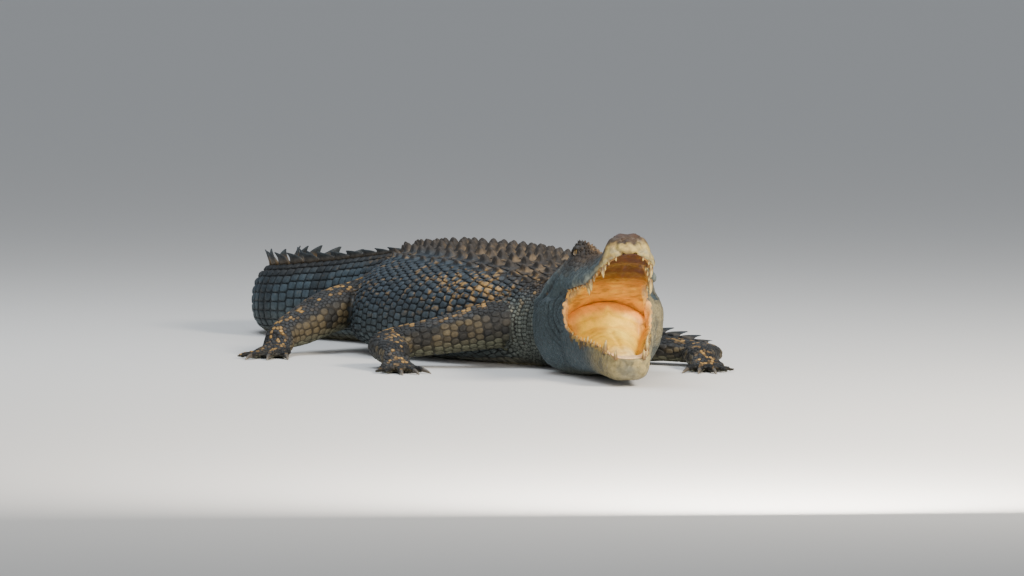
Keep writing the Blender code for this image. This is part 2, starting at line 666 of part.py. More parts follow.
def build():
    for obj in list(bpy.data.objects):
        bpy.data.objects.remove(obj)
    animal = bpy.data.collections.new("nile_crocodile")
    bpy.context.scene.collection.children.link(animal)
    bpy.context.scene.collection.children.link(bpy.data.collections.new("cutters"))

    hide_back = material("hide_back", HIDE_DARK, 0.72)
    hide_flank = material("hide_flank", HIDE_FLANK, 0.66)
    hide_tail = material("hide_tail", HIDE_TAIL, 0.64)
    hide_leg = material("hide_leg", HIDE_LEG, 0.68)
    hide_throat = material("hide_throat", HIDE_THROAT, 0.60)
    flesh = material("flesh", FLESH, 0.45)
    eye_finish = material("eye", EYE_GREEN, 0.12)

    # Head: the eyes' sockets are cut before the teeth are joined.
    bare_head = loft([mirrored_ring(x, head_section(x), UPPER) for x in HEAD_RINGS])
    head = add("head", bare_head.copy(), hide_back, animal)
    for name, side in (("eye_right", -1), ("eye_left", 1)):
        centre = Vector((EYE_PLACE[0], side * EYE_PLACE[1], EYE_PLACE[2]))
        cut_or_join(head, [ball(centre, EYE_RADIUS + GAP, UPPER)], "DIFFERENCE")
        add(name, ball(centre, EYE_RADIUS, UPPER), eye_finish, animal)
    cut_or_join(head, [teeth(UPPER, UPPER_TEETH, head_width, head_lip, UPPER_INSET, -1)], "UNION")

    # Lower jaw, with the muscles behind the mouth's corners, set under the head.
    bare_jaw = loft([mirrored_ring(x, jaw_section(x), LOWER) for x in JAW_RINGS])
    jaw = add("lower_jaw", bare_jaw.copy(), hide_throat, animal)
    cut_or_join(jaw, [grown(bare_head, GAP)], "DIFFERENCE")
    fitted_jaw = jaw.data.copy()
    cut_or_join(jaw, [teeth(LOWER, LOWER_TEETH, jaw_width, jaw_lip, LOWER_INSET, 1)], "UNION")
    tongue = add("tongue", tongue_shape(), flesh, animal)
    cut_or_join(tongue, [grown(fitted_jaw, GAP)], "DIFFERENCE")

    # The long tube of the body.
    front_cutters = [grown(bare_head, 2 * GAP), grown(fitted_jaw, 2 * GAP)]
    cut_or_join(add("neck", neck(), hide_back, animal), front_cutters, "DIFFERENCE")
    add("trunk", trunk(), hide_flank, animal)
    ends = TAIL_CUTS + [TAIL_TIP]
    for number, whorls in enumerate(TAIL_WHORLS):
        add(f"tail_{number + 1}", tail_length(ends[number], ends[number + 1], whorls), hide_tail, animal)

    # Legs: each upper length is cut to the shape of the trunk.
    legs = (("fore_right", FORE_RIGHT, -1, FORE_RADII, FORE_FLAT, FORE_PALM, FORE_TOES),
            ("fore_left", FORE_LEFT, 1, FORE_RADII, FORE_LEFT_FLAT, FORE_PALM, FORE_TOES),
            ("hind_right", HIND_RIGHT, -1, HIND_RADII, HIND_FLAT, HIND_PALM, HIND_TOES),
            ("hind_left", HIND_LEFT, 1, HIND_RADII, HIND_FLAT, HIND_PALM, HIND_TOES))
    for name, leg, side, radii, flat, palm, toes in legs:
        rings, aheads = leg_rings(leg, radii, flat)
        upper = add(f"{name}_upper", limb_length(rings, aheads, 0, 3), hide_leg, animal)
        cut_or_join(upper, [trunk(GAP)], "DIFFERENCE")
        add(f"{name}_lower", limb_length(rings, aheads, 3, 5), hide_leg, animal)
        base, extras = foot(leg, rings, aheads, side, palm, toes)
        cut_or_join(add(f"{name}_foot", base, hide_leg, animal), extras, "UNION")


build()
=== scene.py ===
"""Looks of a Nile crocodile that basks with its jaws agape: skin, scales, crest, mouth, teeth, eyes and claws.

Everything is worked out from the same anatomy as the solids: a body tube along a bent spine, two jaws in frames
of their own, and limbs as smooth tubes. One skin covers all of it, and solid scales sit on the skin.
Metres, +Z up. Along the body, s is a station on the spine, growing towards the tail. Along a jaw, x grows towards
the snout's tip. Round any surface q runs from -1 to 1, with 0 on top, and q is positive on the animal's left.
"""

import itertools
import math
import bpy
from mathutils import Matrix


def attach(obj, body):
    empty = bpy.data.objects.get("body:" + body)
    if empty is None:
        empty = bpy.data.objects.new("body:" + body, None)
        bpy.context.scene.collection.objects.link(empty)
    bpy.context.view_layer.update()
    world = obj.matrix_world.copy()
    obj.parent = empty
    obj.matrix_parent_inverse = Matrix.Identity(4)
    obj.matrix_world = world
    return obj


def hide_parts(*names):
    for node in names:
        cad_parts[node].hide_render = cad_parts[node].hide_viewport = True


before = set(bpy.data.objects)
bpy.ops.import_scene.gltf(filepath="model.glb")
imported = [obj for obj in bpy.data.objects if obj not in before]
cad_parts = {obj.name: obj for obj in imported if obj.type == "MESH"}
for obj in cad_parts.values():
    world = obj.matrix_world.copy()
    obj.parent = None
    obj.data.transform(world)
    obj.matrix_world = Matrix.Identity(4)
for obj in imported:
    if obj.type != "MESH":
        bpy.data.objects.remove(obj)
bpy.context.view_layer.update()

from types import SimpleNamespace

import bmesh
import bpy
import numpy as np
from mathutils import Matrix, Vector
from mathutils.bvhtree import BVHTree
from mathutils.kdtree import KDTree

RANDOM = np.random.default_rng(7)

# ---- Small tools -------------------------------------------------------------------------------


def hermite(t, a, b, slope_a, slope_b, span=1):
    """The cubic from a to b with these slopes, at a share t of the span between them."""
    return ((1 + 2 * t) * (1 - t) ** 2 * a + t * (1 - t) ** 2 * span * slope_a
            + t * t * (3 - 2 * t) * b + t * t * (t - 1) * span * slope_b)


def through(knots):
    """A cubic through (place, value) knots that never overshoots them, for arrays."""
    x, y = np.array(knots, float).T
    span = np.diff(x)
    slope = np.diff(y) / span
    tangent = np.zeros(len(x))
    for i in range(1, len(x) - 1):
        if slope[i - 1] * slope[i] > 0:
            w1, w2 = 2 * span[i] + span[i - 1], span[i] + 2 * span[i - 1]
            tangent[i] = (w1 + w2) / (w1 / slope[i - 1] + w2 / slope[i])
    tangent[0], tangent[-1] = slope[0], slope[-1]

    def value(at):
        at = np.clip(at, x[0], x[-1])
        i = np.clip(np.searchsorted(x, at, side="right") - 1, 0, len(span) - 1)
        return hermite((at - x[i]) / span[i], y[i], y[i + 1], tangent[i], tangent[i + 1], span[i])

    return value


def eased(t):
    t = np.clip(t, 0.0, 1.0)
    return t * t * (3 - 2 * t)


def step(value, low, high):
    """From 0 at low to 1 at high, and level beyond."""
    return eased((value - low) / (high - low))


def bump(distance, reach):
    return np.exp(-((distance / reach) ** 2))


def mix(a, b, share):
    """Between two colours or points, by an array of shares."""
    share = np.asarray(share, float)[..., None]
    return np.asarray(a, float) * (1 - share) + np.asarray(b, float) * share


def layered(base, *coats):
    """The base colour under coats of (colour, share), laid on in turn."""
    for colour, share in coats:
        base = mix(base, colour, share)
    return base


def unit(v):
    return v / np.maximum(np.linalg.norm(v, axis=-1, keepdims=True), 1e-12)


def dots(a, b):
    return (a * b).sum(-1)


def running(lengths):
    """Sums from 0 on."""
    return np.concatenate([[0], np.cumsum(lengths)])


def pointing(angle, rise=0):
    """A vector towards an angle over the floor, one long but for its rise."""
    return np.array([math.cos(angle), math.sin(angle), rise])


def circle(count):
    """Angles once round, without the last, which is the first again."""
    return np.linspace(0, 2 * math.pi, count + 1)[:-1]


def around(us, count):
    """(u, q) of a grid with count places round a surface at each of its places us."""
    return np.meshgrid(us, np.linspace(-1, 1, count + 1)[:-1], indexing="ij")


def lattice(points, seed):
    """Smooth noise from -1 to 1, one cell to a unit of length."""
    cell = np.floor(points).astype(np.int64)
    part = points - cell
    part = part * part * (3 - 2 * part)
    total = np.zeros(points.shape[:-1])
    for corner in range(8):
        offset = np.array([(corner >> k) & 1 for k in range(3)])
        at = cell + offset
        mixed = at[..., 0] * 73856093 ^ at[..., 1] * 19349663 ^ at[..., 2] * 83492791 ^ seed * 9176213
        mixed = (mixed ^ (mixed >> 13)) * 1274126177 & 0x7FFFFFFF
        value = ((mixed ^ (mixed >> 11)) & 0xFFFF) / 32767.5 - 1
        total += value * np.prod(np.where(offset, part, 1 - part), axis=-1)
    return total


def rough(points, size, seed, octaves=3):
    """Noise of a given lump size in metres."""
    points = np.asarray(points, float)
    total = np.zeros(points.shape[:-1])
    for k in range(octaves):
        total += lattice(points / size * 2**k, seed + k) / 2**k
    return total / 1.6


# ---- Anatomy, the same values as the solids ----------------------------------------------------

NECK_FRONT, TRUNK_FRONT, TRUNK_BACK, TAIL_TIP = -0.83, -0.54, 0.56, 2.88
BENDS = [(-0.56, 0.45, 15.5), (0.60, 0.60, 21.0), (1.41, 0.96, -180.0)]  # middle, length, degrees
half_width = through([
    (-0.83, 0.085), (-0.76, 0.122), (-0.62, 0.138), (-0.48, 0.180), (-0.28, 0.272), (0.0, 0.340), (0.16, 0.352),
    (0.32, 0.318), (0.45, 0.225), (0.58, 0.158), (0.80, 0.130), (1.10, 0.108), (1.35, 0.092), (1.70, 0.069),
    (2.20, 0.042), (2.60, 0.021), (2.88, 0.007)])
height = through([
    (-0.83, 0.140), (-0.76, 0.205), (-0.62, 0.232), (-0.48, 0.254), (-0.28, 0.282), (0.0, 0.295), (0.30, 0.295),
    (0.50, 0.280), (0.70, 0.260), (0.90, 0.237), (1.10, 0.217), (1.35, 0.202), (1.70, 0.160), (2.20, 0.105),
    (2.60, 0.056), (2.88, 0.016)])
lift = through([
    (-0.83, 0.075), (-0.76, 0.042), (-0.62, 0.010), (-0.48, -0.006), (-0.28, -0.010), (0.42, -0.010), (0.58, -0.008),
    (1.5, -0.006), (2.3, -0.004), (2.88, -0.001)])
widest = through([
    (-0.83, 0.45), (-0.45, 0.42), (-0.15, 0.32), (0.30, 0.29), (0.55, 0.34), (0.80, 0.37), (1.40, 0.40), (2.20, 0.45),
    (2.88, 0.45)])
roll_at = through([(-0.83, 0.0), (1.0, 0.0), (1.30, 6.0), (1.60, 20.0), (2.00, 50.0), (2.30, 64.0), (2.88, 68.0)])
BOXINESS = 2.3
TRUNK_ROWS, NARROWEST_KEELS, KEEL_HEIGHT = 17, 0.62, 0.017
TAIL_LENGTHS = [(0.56, 1.14, 9), (1.14, 1.70, 9), (1.70, 2.26, 9), (2.26, 2.88, 10)]  # from, to, whorls
crest_spread = through([(0.56, 0.062), (0.9, 0.050), (1.2, 0.036), (1.5, 0.018), (1.66, 0.004), (2.88, 0.0015)])
crest_height = through([
    (0.56, 0.014), (0.8, 0.020), (1.1, 0.034), (1.3, 0.044), (1.6, 0.052), (2.1, 0.054), (2.6, 0.048), (2.78, 0.032),
    (2.88, 0.006)])

HEAD_STATION, JOINT_HEIGHT, SNOUT_PITCH, JAW_PITCH = -0.775, 0.146, 17.3, -7.0
HEAD_REACH, JAW_REACH = (-0.03, 0.60), (-0.13, 0.585)  # from the rear to the tip
EYE_PLACE, EYE_RADIUS = (0.178, 0.066, 0.125), 0.0195
head_width = through([
    (-0.03, 0.146), (0.03, 0.150), (0.08, 0.141), (0.12, 0.131), (0.18, 0.118), (0.25, 0.104), (0.32, 0.094),
    (0.41, 0.089), (0.455, 0.076), (0.495, 0.062), (0.54, 0.072), (0.58, 0.061), (0.60, 0.032)])
head_top = through([
    (-0.03, 0.110), (0.035, 0.138), (0.13, 0.140), (0.18, 0.119), (0.25, 0.102), (0.34, 0.084), (0.44, 0.068),
    (0.52, 0.062), (0.562, 0.074), (0.59, 0.064), (0.60, 0.046)])
head_lip = through([
    (-0.03, 0.030), (0.10, 0.034), (0.17, 0.028), (0.22, 0.017), (0.29, 0.009), (0.41, -0.012), (0.495, 0.012),
    (0.54, -0.008), (0.585, 0.0), (0.60, 0.008)])
head_palate = through([
    (-0.03, 0.016), (0.10, 0.008), (0.21, 0.0), (0.29, 0.018), (0.41, -0.002), (0.495, 0.022), (0.54, 0.002),
    (0.585, 0.010), (0.60, 0.018)])
table_width = through([
    (-0.03, 0.066), (0.035, 0.086), (0.13, 0.076), (0.18, 0.074), (0.24, 0.048), (0.34, 0.036), (0.44, 0.034),
    (0.52, 0.036), (0.565, 0.041), (0.60, 0.016)])
jaw_width = through([
    (-0.13, 0.105), (-0.08, 0.146), (0.0, 0.172), (0.05, 0.162), (0.12, 0.136), (0.20, 0.116), (0.30, 0.095),
    (0.42, 0.075), (0.49, 0.063), (0.545, 0.058), (0.575, 0.044), (0.585, 0.022)])
jaw_bottom = through([
    (-0.13, -0.110), (-0.06, -0.150), (0.03, -0.148), (0.14, -0.126), (0.26, -0.102), (0.40, -0.082), (0.52, -0.070),
    (0.57, -0.056), (0.585, -0.036)])
jaw_lip = through([
    (-0.13, 0.01), (-0.06, 0.05), (0.01, 0.056), (0.06, 0.062), (0.11, 0.080), (0.145, 0.094), (0.165, 0.052),
    (0.195, 0.008), (0.30, -0.004), (0.42, 0.006), (0.56, 0.004), (0.585, -0.004)])
mouth_floor = through([
    (-0.13, 0.012), (0.03, 0.056), (0.09, 0.050), (0.12, 0.022), (0.16, -0.012), (0.22, -0.030), (0.30, -0.034),
    (0.42, -0.032), (0.50, -0.020), (0.54, -0.004), (0.585, -0.004)])
WEB_FOOT, WEB_LEAN, GUM = 0.060, 0.6, 0.016
EYE_HUMP, NOSE_PLACE, NOSE_HUMP = 0.036, 0.562, 0.006
UPPER_TEETH = [
    (0.592, 0.012), (0.578, 0.016), (0.560, 0.021), (0.540, 0.026), (0.518, 0.014), (0.472, 0.013), (0.456, 0.017),
    (0.440, 0.021), (0.422, 0.027), (0.402, 0.031), (0.378, 0.021), (0.352, 0.016), (0.326, 0.017), (0.300, 0.019),
    (0.274, 0.018), (0.248, 0.015), (0.223, 0.012), (0.199, 0.010)]
LOWER_TEETH = [
    (0.574, 0.024), (0.556, 0.014), (0.534, 0.016), (0.508, 0.030), (0.480, 0.014), (0.456, 0.013), (0.432, 0.014),
    (0.408, 0.016), (0.382, 0.019), (0.355, 0.022), (0.327, 0.018), (0.298, 0.014), (0.268, 0.012), (0.238, 0.011),
    (0.208, 0.010)]
UPPER_INSET, LOWER_INSET = 0.011, 0.009

FORE = {"radii": [0.060, 0.066, 0.056, 0.050, 0.048, 0.038], "flat": [1.0, 1.0, 0.95, 0.88, 0.84, 0.80],
        "palm": (0.075, 0.052), "toes": [(-38, 0.058, 0.0115), (-18, 0.074, 0.0115), (0, 0.080, 0.0110),
                                         (19, 0.070, 0.0100), (38, 0.054, 0.0090)], "web": 0.30}
HIND = {"radii": [0.070, 0.076, 0.064, 0.058, 0.060, 0.046], "flat": [1.0, 1.05, 1.05, 1.05, 0.90, 0.85],
        "palm": (0.105, 0.056), "toes": [(-26, 0.078, 0.0125), (-8, 0.098, 0.0125), (10, 0.100, 0.0120),
                                         (29, 0.080, 0.0105)], "web": 0.62}
LEGS = {
    "fore_right": {**FORE, "points": [(0.44, -0.06, 0.120), (0.425, -0.19, 0.112), (0.340, -0.465, 0.058),
                                      (0.495, -0.515, 0.034)], "heading": -16, "side": -1},
    "fore_left": {**FORE, "points": [(0.42, 0.06, 0.090), (0.440, 0.190, 0.050), (0.606, 0.305, 0.034),
                                     (0.765, 0.240, 0.030)], "heading": -12, "side": 1,
                  "flat": [1.0, 0.74, 0.64, 0.64, 0.70, 0.78]},
    "hind_right": {**HIND, "points": [(-0.455, -0.04, 0.150), (-0.445, -0.13, 0.150), (-0.330, -0.375, 0.108),
                                      (-0.238, -0.545, 0.050)], "heading": -38, "side": -1},
    "hind_left": {**HIND, "points": [(-0.455, 0.04, 0.150), (-0.445, 0.13, 0.145), (-0.345, 0.372, 0.106),
                                     (-0.245, 0.465, 0.050)], "heading": 4, "side": 1},
}
PALM_RINGS = [(0.45, 0.80, 0.021, 0.020), (0.85, 1.0, 0.015, 0.014), (1.0, 0.94, 0.010, 0.011)]
KNUCKLES = [(0.0, 1.25), (0.65, 0.97), (1.0, 0.72)]  # share of the toe's reach, height in radii
TOE_THICKNESS = [1.0, 0.9, 0.80, 0.6]
KNEE_WIDER, CLAWED, CLAW_LENGTH = 1.22, 3, 0.027

# ---- Looks -------------------------------------------------------------------------------------

COAT = 0.0052  # depth of the scales: how far the skin lies inside the solids
HEAD_COAT = 0.0014  # the same on the head, whose scales are low
SOLE = 0.0012  # nothing but claws and scales reaches lower than this over the floor
BODY_VOXEL, HEAD_VOXEL = 0.005, 0.0024
SKIN_TRIANGLES = 190000
PATCH = 0.003  # size of one scale's place on the coat's map
TAIL_TURN = 1.41  # the station at the middle of the tail's sharp bend
TORSO, LIMB, FOOT, UPPER_HEAD, LOWER_HEAD = range(5)  # the regions that markings and folds tell apart

# ---- The body's surface ------------------------------------------------------------------------


def heading(s):
    """Degrees that the spine has turned at a station, counted from the trunk."""
    angle = -BENDS[0][2]
    for middle, length, degrees in BENDS:
        angle = angle + degrees * eased((s - middle) / length + 0.5)
    return angle


STRIDE = 0.005
STATIONS = np.arange(NECK_FRONT - 0.05, TAIL_TIP + 0.05, STRIDE)
TRACK = [running(-way(np.radians(heading(STATIONS + STRIDE / 2))) * STRIDE)[:-1] for way in (np.cos, np.sin)]
TRACK_X, TRACK_Y = (line - np.interp(0, STATIONS, line) for line in TRACK)


def section(s, theta):
    """(across, up) of the bare body's outline at an angle, a right angle being the top."""
    a, h = half_width(s), height(s)
    c, n = np.cos(theta), np.sin(theta)
    middle = widest(s) * h
    power = 2 / BOXINESS
    rise = np.where(n > 0, h - middle, middle)
    return a * np.sign(c) * np.abs(c) ** power, middle + rise * np.sign(n) * np.abs(n) ** power


GRID_S, GRID_Q = np.arange(NECK_FRONT - 0.03, TAIL_TIP + 0.03, 0.01), np.linspace(0, 1, 121)


def measured_rings():
    """For each station of the grid: the angles at even steps of arc, half the girth, and the lowest point."""
    fan = np.linspace(math.pi / 2, -math.pi / 2, 361)
    for s in GRID_S:
        y, z = section(np.full(len(fan), s), fan)
        arc = running(np.hypot(np.diff(y), np.diff(z)))
        turn = math.radians(roll_at(s))
        z = z - widest(s) * height(s)
        lowest = min((side * y * math.sin(turn) + z * math.cos(turn)).min() for side in (-1, 1))
        yield np.interp(GRID_Q, arc / arc[-1], fan), arc[-1], lowest


THETA, GIRTH, LOWEST = (np.array(values) for values in zip(*measured_rings()))


def girth(s):
    """Half the way round the body, in metres."""
    return np.interp(s, GRID_S, GIRTH)


def body(s, q, out=0.0):
    """World points: q is 0 on the midline of the back, 1 or -1 under the belly."""
    s, q = np.broadcast_arrays(np.asarray(s, float), np.asarray(q, float))
    q = (q + 1) % 2 - 1
    row = np.clip((s - GRID_S[0]) / 0.01, 0, len(GRID_S) - 1.001)
    column = np.abs(q) * (len(GRID_Q) - 1.001)
    i, j = row.astype(int), column.astype(int)
    a, b = row - i, column - j
    theta = ((1 - a) * (1 - b) * THETA[i, j] + a * (1 - b) * THETA[i + 1, j]
             + (1 - a) * b * THETA[i, j + 1] + a * b * THETA[i + 1, j + 1])
    y, z = section(s, theta)
    y = y * np.where(q < 0, -1, 1)
    z = z - widest(s) * height(s)
    if np.any(out):
        size = np.maximum(np.hypot(y, z), 1e-6)
        y, z = y * (1 + out / size), z * (1 + out / size)
    turn = np.radians(roll_at(s))
    across = y * np.cos(turn) - z * np.sin(turn)
    up = y * np.sin(turn) + z * np.cos(turn) - np.interp(s, GRID_S, LOWEST) + lift(s)
    angle = np.radians(heading(s))
    x = np.interp(s, STATIONS, TRACK_X) - across * np.sin(angle)
    y = np.interp(s, STATIONS, TRACK_Y) + across * np.cos(angle)
    return np.stack([x, y, np.maximum(up, SOLE)], axis=-1)


# ---- The jaws' surfaces ------------------------------------------------------------------------


def head_frame(pitch):
    """The world matrix of a jaw, pitched up about the jaw joint: x forward, y to the left, z up."""
    x, y = (float(np.interp(HEAD_STATION, STATIONS, track)) for track in (TRACK_X, TRACK_Y))
    turn = Matrix.Rotation(math.radians(heading(HEAD_STATION)), 4, "Z")
    up = Matrix.Rotation(math.radians(-pitch), 4, "Y")
    return np.array(Matrix.Translation((x, y, JOINT_HEIGHT)) @ turn @ up)


UPPER, LOWER = head_frame(SNOUT_PITCH), head_frame(JAW_PITCH)


def turned(matrix, vectors):
    """World vectors of those in a jaw's frame."""
    return np.asarray(vectors, float) @ matrix[:3, :3].T


def placed(matrix, points):
    """World points of those in a jaw's frame."""
    return turned(matrix, points) + matrix[:3, 3]


def local_to(matrix, points):
    """Coordinates of world points in a jaw's frame."""
    return (points - matrix[:3, 3]) @ matrix[:3, :3]


def head_outline(x):
    """Half an outline of the upper jaw, from the midline above to the midline of the palate."""
    w, top, lip, table = head_width(x), head_top(x), head_lip(x), table_width(x)
    hump = EYE_HUMP * bump(x - EYE_PLACE[0], 0.030)
    nose = NOSE_HUMP * bump(x - NOSE_PLACE, 0.018)
    tall, palate = top - lip, head_palate(x)
    zero = 0 * w
    return [(zero, top - 0.1 * hump + 0.4 * nose), (0.50 * table, top + 0.80 * hump + nose),
            (0.92 * table, top + hump), (table + 0.25 * (w - table), top - 0.14 * tall + 0.35 * hump),
            (table + 0.72 * (w - table), lip + 0.52 * tall), (w * 0.99, lip + 0.24 * tall), (w, lip + 0.005),
            (w - 0.005, lip), (w - 0.016, lip + 0.002), (np.maximum(w - 0.024, 0.4 * w), palate),
            (zero, palate + 0.006)]


def jaw_outline(x):
    """Half an outline of the lower jaw, from the midline of the mouth's floor to that of the chin."""
    w, low, lip, floor = jaw_width(x), jaw_bottom(x), jaw_lip(x), mouth_floor(x)
    rim = np.minimum(GUM, 0.35 * w)
    zero = 0 * w
    edge = w - WEB_LEAN * np.maximum(lip - WEB_FOOT, 0)
    return [(zero, floor), (np.maximum(w - rim - 0.020, 0.35 * w), floor + 0.002),
            (edge - rim, np.maximum(lip - 0.006, floor + 0.003)), (edge - 0.5 * rim, lip), (edge - 0.003, lip - 0.004),
            (w, lip + 0.28 * (low - lip)), (0.96 * w, lip + 0.58 * (low - lip)),
            (0.78 * w, lip + 0.86 * (low - lip)), (0.42 * w, low), (zero, low)]


def outline_point(outline, x, q):
    """(x, y, z) in a jaw's frame: q runs from 0 to 1 over half the outline, negative on the right."""
    x, q = np.broadcast_arrays(np.asarray(x, float), np.asarray(q, float))
    knots = np.stack([np.stack(np.broadcast_arrays(*pair), axis=-1) for pair in outline(x)])
    mirror = np.array([-1.0, 1.0])
    knots = np.concatenate([knots[1:2] * mirror, knots, knots[-2:-1] * mirror])
    last = len(knots) - 3
    at = np.clip(np.abs(q), 0, 1) * last
    i = np.minimum(at.astype(int), last - 1)
    p0, p1, p2, p3 = (np.take_along_axis(knots, (i + k)[None, ..., None], axis=0)[0] for k in range(4))
    tension = 0.42
    yz = hermite((at - i)[..., None], p1, p2, tension * (p2 - p0), tension * (p3 - p1))
    return np.stack([x, yz[..., 0] * np.where(q < 0, -1, 1), yz[..., 1]], axis=-1)


# ---- Smooth tubes ------------------------------------------------------------------------------


class Tube:
    """A smooth tube through ovals: u in metres along it, q from -1 to 1 round it, 0 on top."""

    def __init__(self, centres, wides, talls):
        self.centres = np.array(centres, float)
        self.knots = running(np.linalg.norm(np.diff(self.centres, axis=0), axis=1))
        self.length = self.knots[-1]
        self.wide, self.tall = (through(list(zip(self.knots, sizes))) for sizes in (wides, talls))
        self.tangents = np.gradient(self.centres, self.knots, axis=0)

    def centre(self, u):
        u = np.clip(u, 0, self.length)
        i = np.clip(np.searchsorted(self.knots, u, side="right") - 1, 0, len(self.knots) - 2)
        span = self.knots[i + 1] - self.knots[i]
        return hermite(((u - self.knots[i]) / span)[..., None], self.centres[i], self.centres[i + 1],
                       self.tangents[i], self.tangents[i + 1], span[..., None])

    def point(self, u, q):
        u, q = np.broadcast_arrays(np.asarray(u, float), np.asarray(q, float))
        ahead = unit(self.centre(u + 0.002) - self.centre(u - 0.002))
        side = unit(np.cross(ahead, [0, 0, 1.0]))
        up = np.cross(side, ahead)
        turn = q * math.pi
        found = (self.centre(u) - side * (self.wide(u) * np.sin(turn))[..., None]
                 + up * (self.tall(u) * np.cos(turn))[..., None])
        found[..., 2] = np.maximum(found[..., 2], SOLE)
        return found

    def rings(self, rows, columns):
        return self.point(*around(np.linspace(0, self.length, rows), columns))


def leg_tube(leg, inset=0.0):
    root, shoulder, bend, end = (np.array(p) for p in leg["points"])
    centres = [root, shoulder, (shoulder + bend) / 2, bend, bend * 0.45 + end * 0.55, end,
               end + pointing(math.radians(leg["heading"]), -0.35) * 0.03]
    radii = leg["radii"] + [leg["radii"][-1] * 0.9]
    wide = [r * (KNEE_WIDER if i == 3 else 1) - inset for i, r in enumerate(radii)]
    return Tube(centres, wide, [r * f - inset for r, f in zip(radii, leg["flat"] + [0.72])])


def foot_tubes(leg, inset=0.0):
    """(palm, toes, webs, tips of the toes) of a foot."""
    length, half = leg["palm"]
    angle = math.radians(leg["heading"])
    way = pointing(angle)
    ankle = np.array(leg["points"][3])
    centres, wide, tall = [ankle], [leg["radii"][-1] - inset], [leg["radii"][-1] * 0.8 - inset]
    for share, w, t, z in PALM_RINGS:
        centres.append(np.array([ankle[0], ankle[1], z]) + way * length * share)
        wide.append(half * w - inset)
        tall.append(t - inset * 0.6)
    toes, tips = [], []
    for spread, reach, radius in leg["toes"]:
        ahead = pointing(angle + math.radians(leg["side"] * spread))
        origin = ankle + way * length * 0.35
        origin[2] = 0
        knuckles = [origin + ahead * (length * 0.65 - radius + (reach + radius) * share)
                    + np.array([0, 0, radius * high]) for share, high in KNUCKLES]
        knuckles.insert(2, knuckles[1] * 0.45 + knuckles[2] * 0.55)
        radii = [radius * t - inset * 0.5 for t in TOE_THICKNESS]
        toes.append(Tube(knuckles, radii, radii))
        tips.append((knuckles[-1], ahead, radius))
    webs = []
    for a, b in zip(toes[:-1], toes[1:]):
        pairs = [[toe.centre(np.array(t * toe.length)) for toe in (a, b)] for t in (0, leg["web"] / 2, leg["web"])]
        rows = [(p + r) / 2 * [1, 1, 0.75] for p, r in pairs]
        gaps = [np.linalg.norm(p - r) / 2 for p, r in pairs]
        webs.append(Tube(rows, [g + 0.002 for g in gaps[:2]] + [gaps[2] * 0.7], [0.0052, 0.0042, 0.0026]))
    return Tube(centres, wide, tall), toes, webs, tips


# ---- Meshes ------------------------------------------------------------------------------------


def make_mesh(name, points, faces):
    data = bpy.data.meshes.new(name)
    data.from_pydata([tuple(p) for p in np.asarray(points).reshape(-1, 3).tolist()], [], faces)
    data.update()
    return data


def facing_out(data):
    """The closed mesh with its faces turned to point out."""
    mesh = bmesh.new()
    mesh.from_mesh(data)
    bmesh.ops.recalc_face_normals(mesh, faces=mesh.faces)
    mesh.to_mesh(data)
    mesh.free()
    return data


def loft_faces(rows, columns, start):
    """Quads round a tube of rows of points, with a cap at each end."""
    faces = []
    for i in range(rows - 1):
        for j in range(columns):
            k = (j + 1) % columns
            a, b = start + i * columns, start + (i + 1) * columns
            faces.append((a + j, a + k, b + k, b + j))
    faces.append(tuple(start + j for j in range(columns))[::-1])
    faces.append(tuple(start + (rows - 1) * columns + j for j in range(columns)))
    return faces


def closed(grids, name):
    """One mesh of closed tubes, each a grid of points (rows, columns, 3)."""
    faces, start = [], 0
    for grid in grids:
        rows, columns = grid.shape[:2]
        faces += loft_faces(rows, columns, start)
        start += rows * columns
    return facing_out(make_mesh(name, np.concatenate([grid.reshape(-1, 3) for grid in grids]), faces))


def new_object(name, data):
    obj = bpy.data.objects.new(name, data)
    bpy.context.scene.collection.objects.link(obj)
    return obj


def modified(obj, kind, **values):
    """The object after one modifier, made real."""
    modifier = obj.modifiers.new(kind.lower(), kind)
    for name, value in values.items():
        setattr(modifier, name, value)
    bpy.context.view_layer.update()
    data = bpy.data.meshes.new_from_object(obj.evaluated_get(bpy.context.evaluated_depsgraph_get()))
    obj.modifiers.clear()
    obj.data = data
    return obj


def remeshed(grids, name, voxel):
    """The closed tubes melted into one mesh."""
    return modified(new_object(name, closed(grids, name)), "REMESH", mode="VOXEL", voxel_size=voxel)


def carved(obj, other, operation):
    modified(obj, "BOOLEAN", operation=operation, solver="MANIFOLD", object=other)
    bpy.data.objects.remove(other)
    return obj


def read(items, name, width, kind=float):
    """An array of one property of a mesh's vertices, edges or corners."""
    found = np.zeros(len(items) * width, kind)
    items.foreach_get(name, found)
    return found.reshape(-1, width)


def coordinates(data):
    return read(data.vertices, "co", 3)


def move(data, co):
    data.vertices.foreach_set("co", co.ravel())
    data.update()


def relax(data, weight, rounds):
    """Moves each vertex towards its neighbours' middle, by its weight, a number of rounds."""
    a, b = read(data.edges, "vertices", 2, np.int64).T
    co = coordinates(data)
    count = np.bincount(a, minlength=len(co)) + np.bincount(b, minlength=len(co))
    for _ in range(rounds):
        total = np.stack([np.bincount(a, co[b, k], len(co)) + np.bincount(b, co[a, k], len(co))
                          for k in range(3)], axis=-1)
        co += (total / count[:, None] - co) * weight[:, None]
    move(data, co)


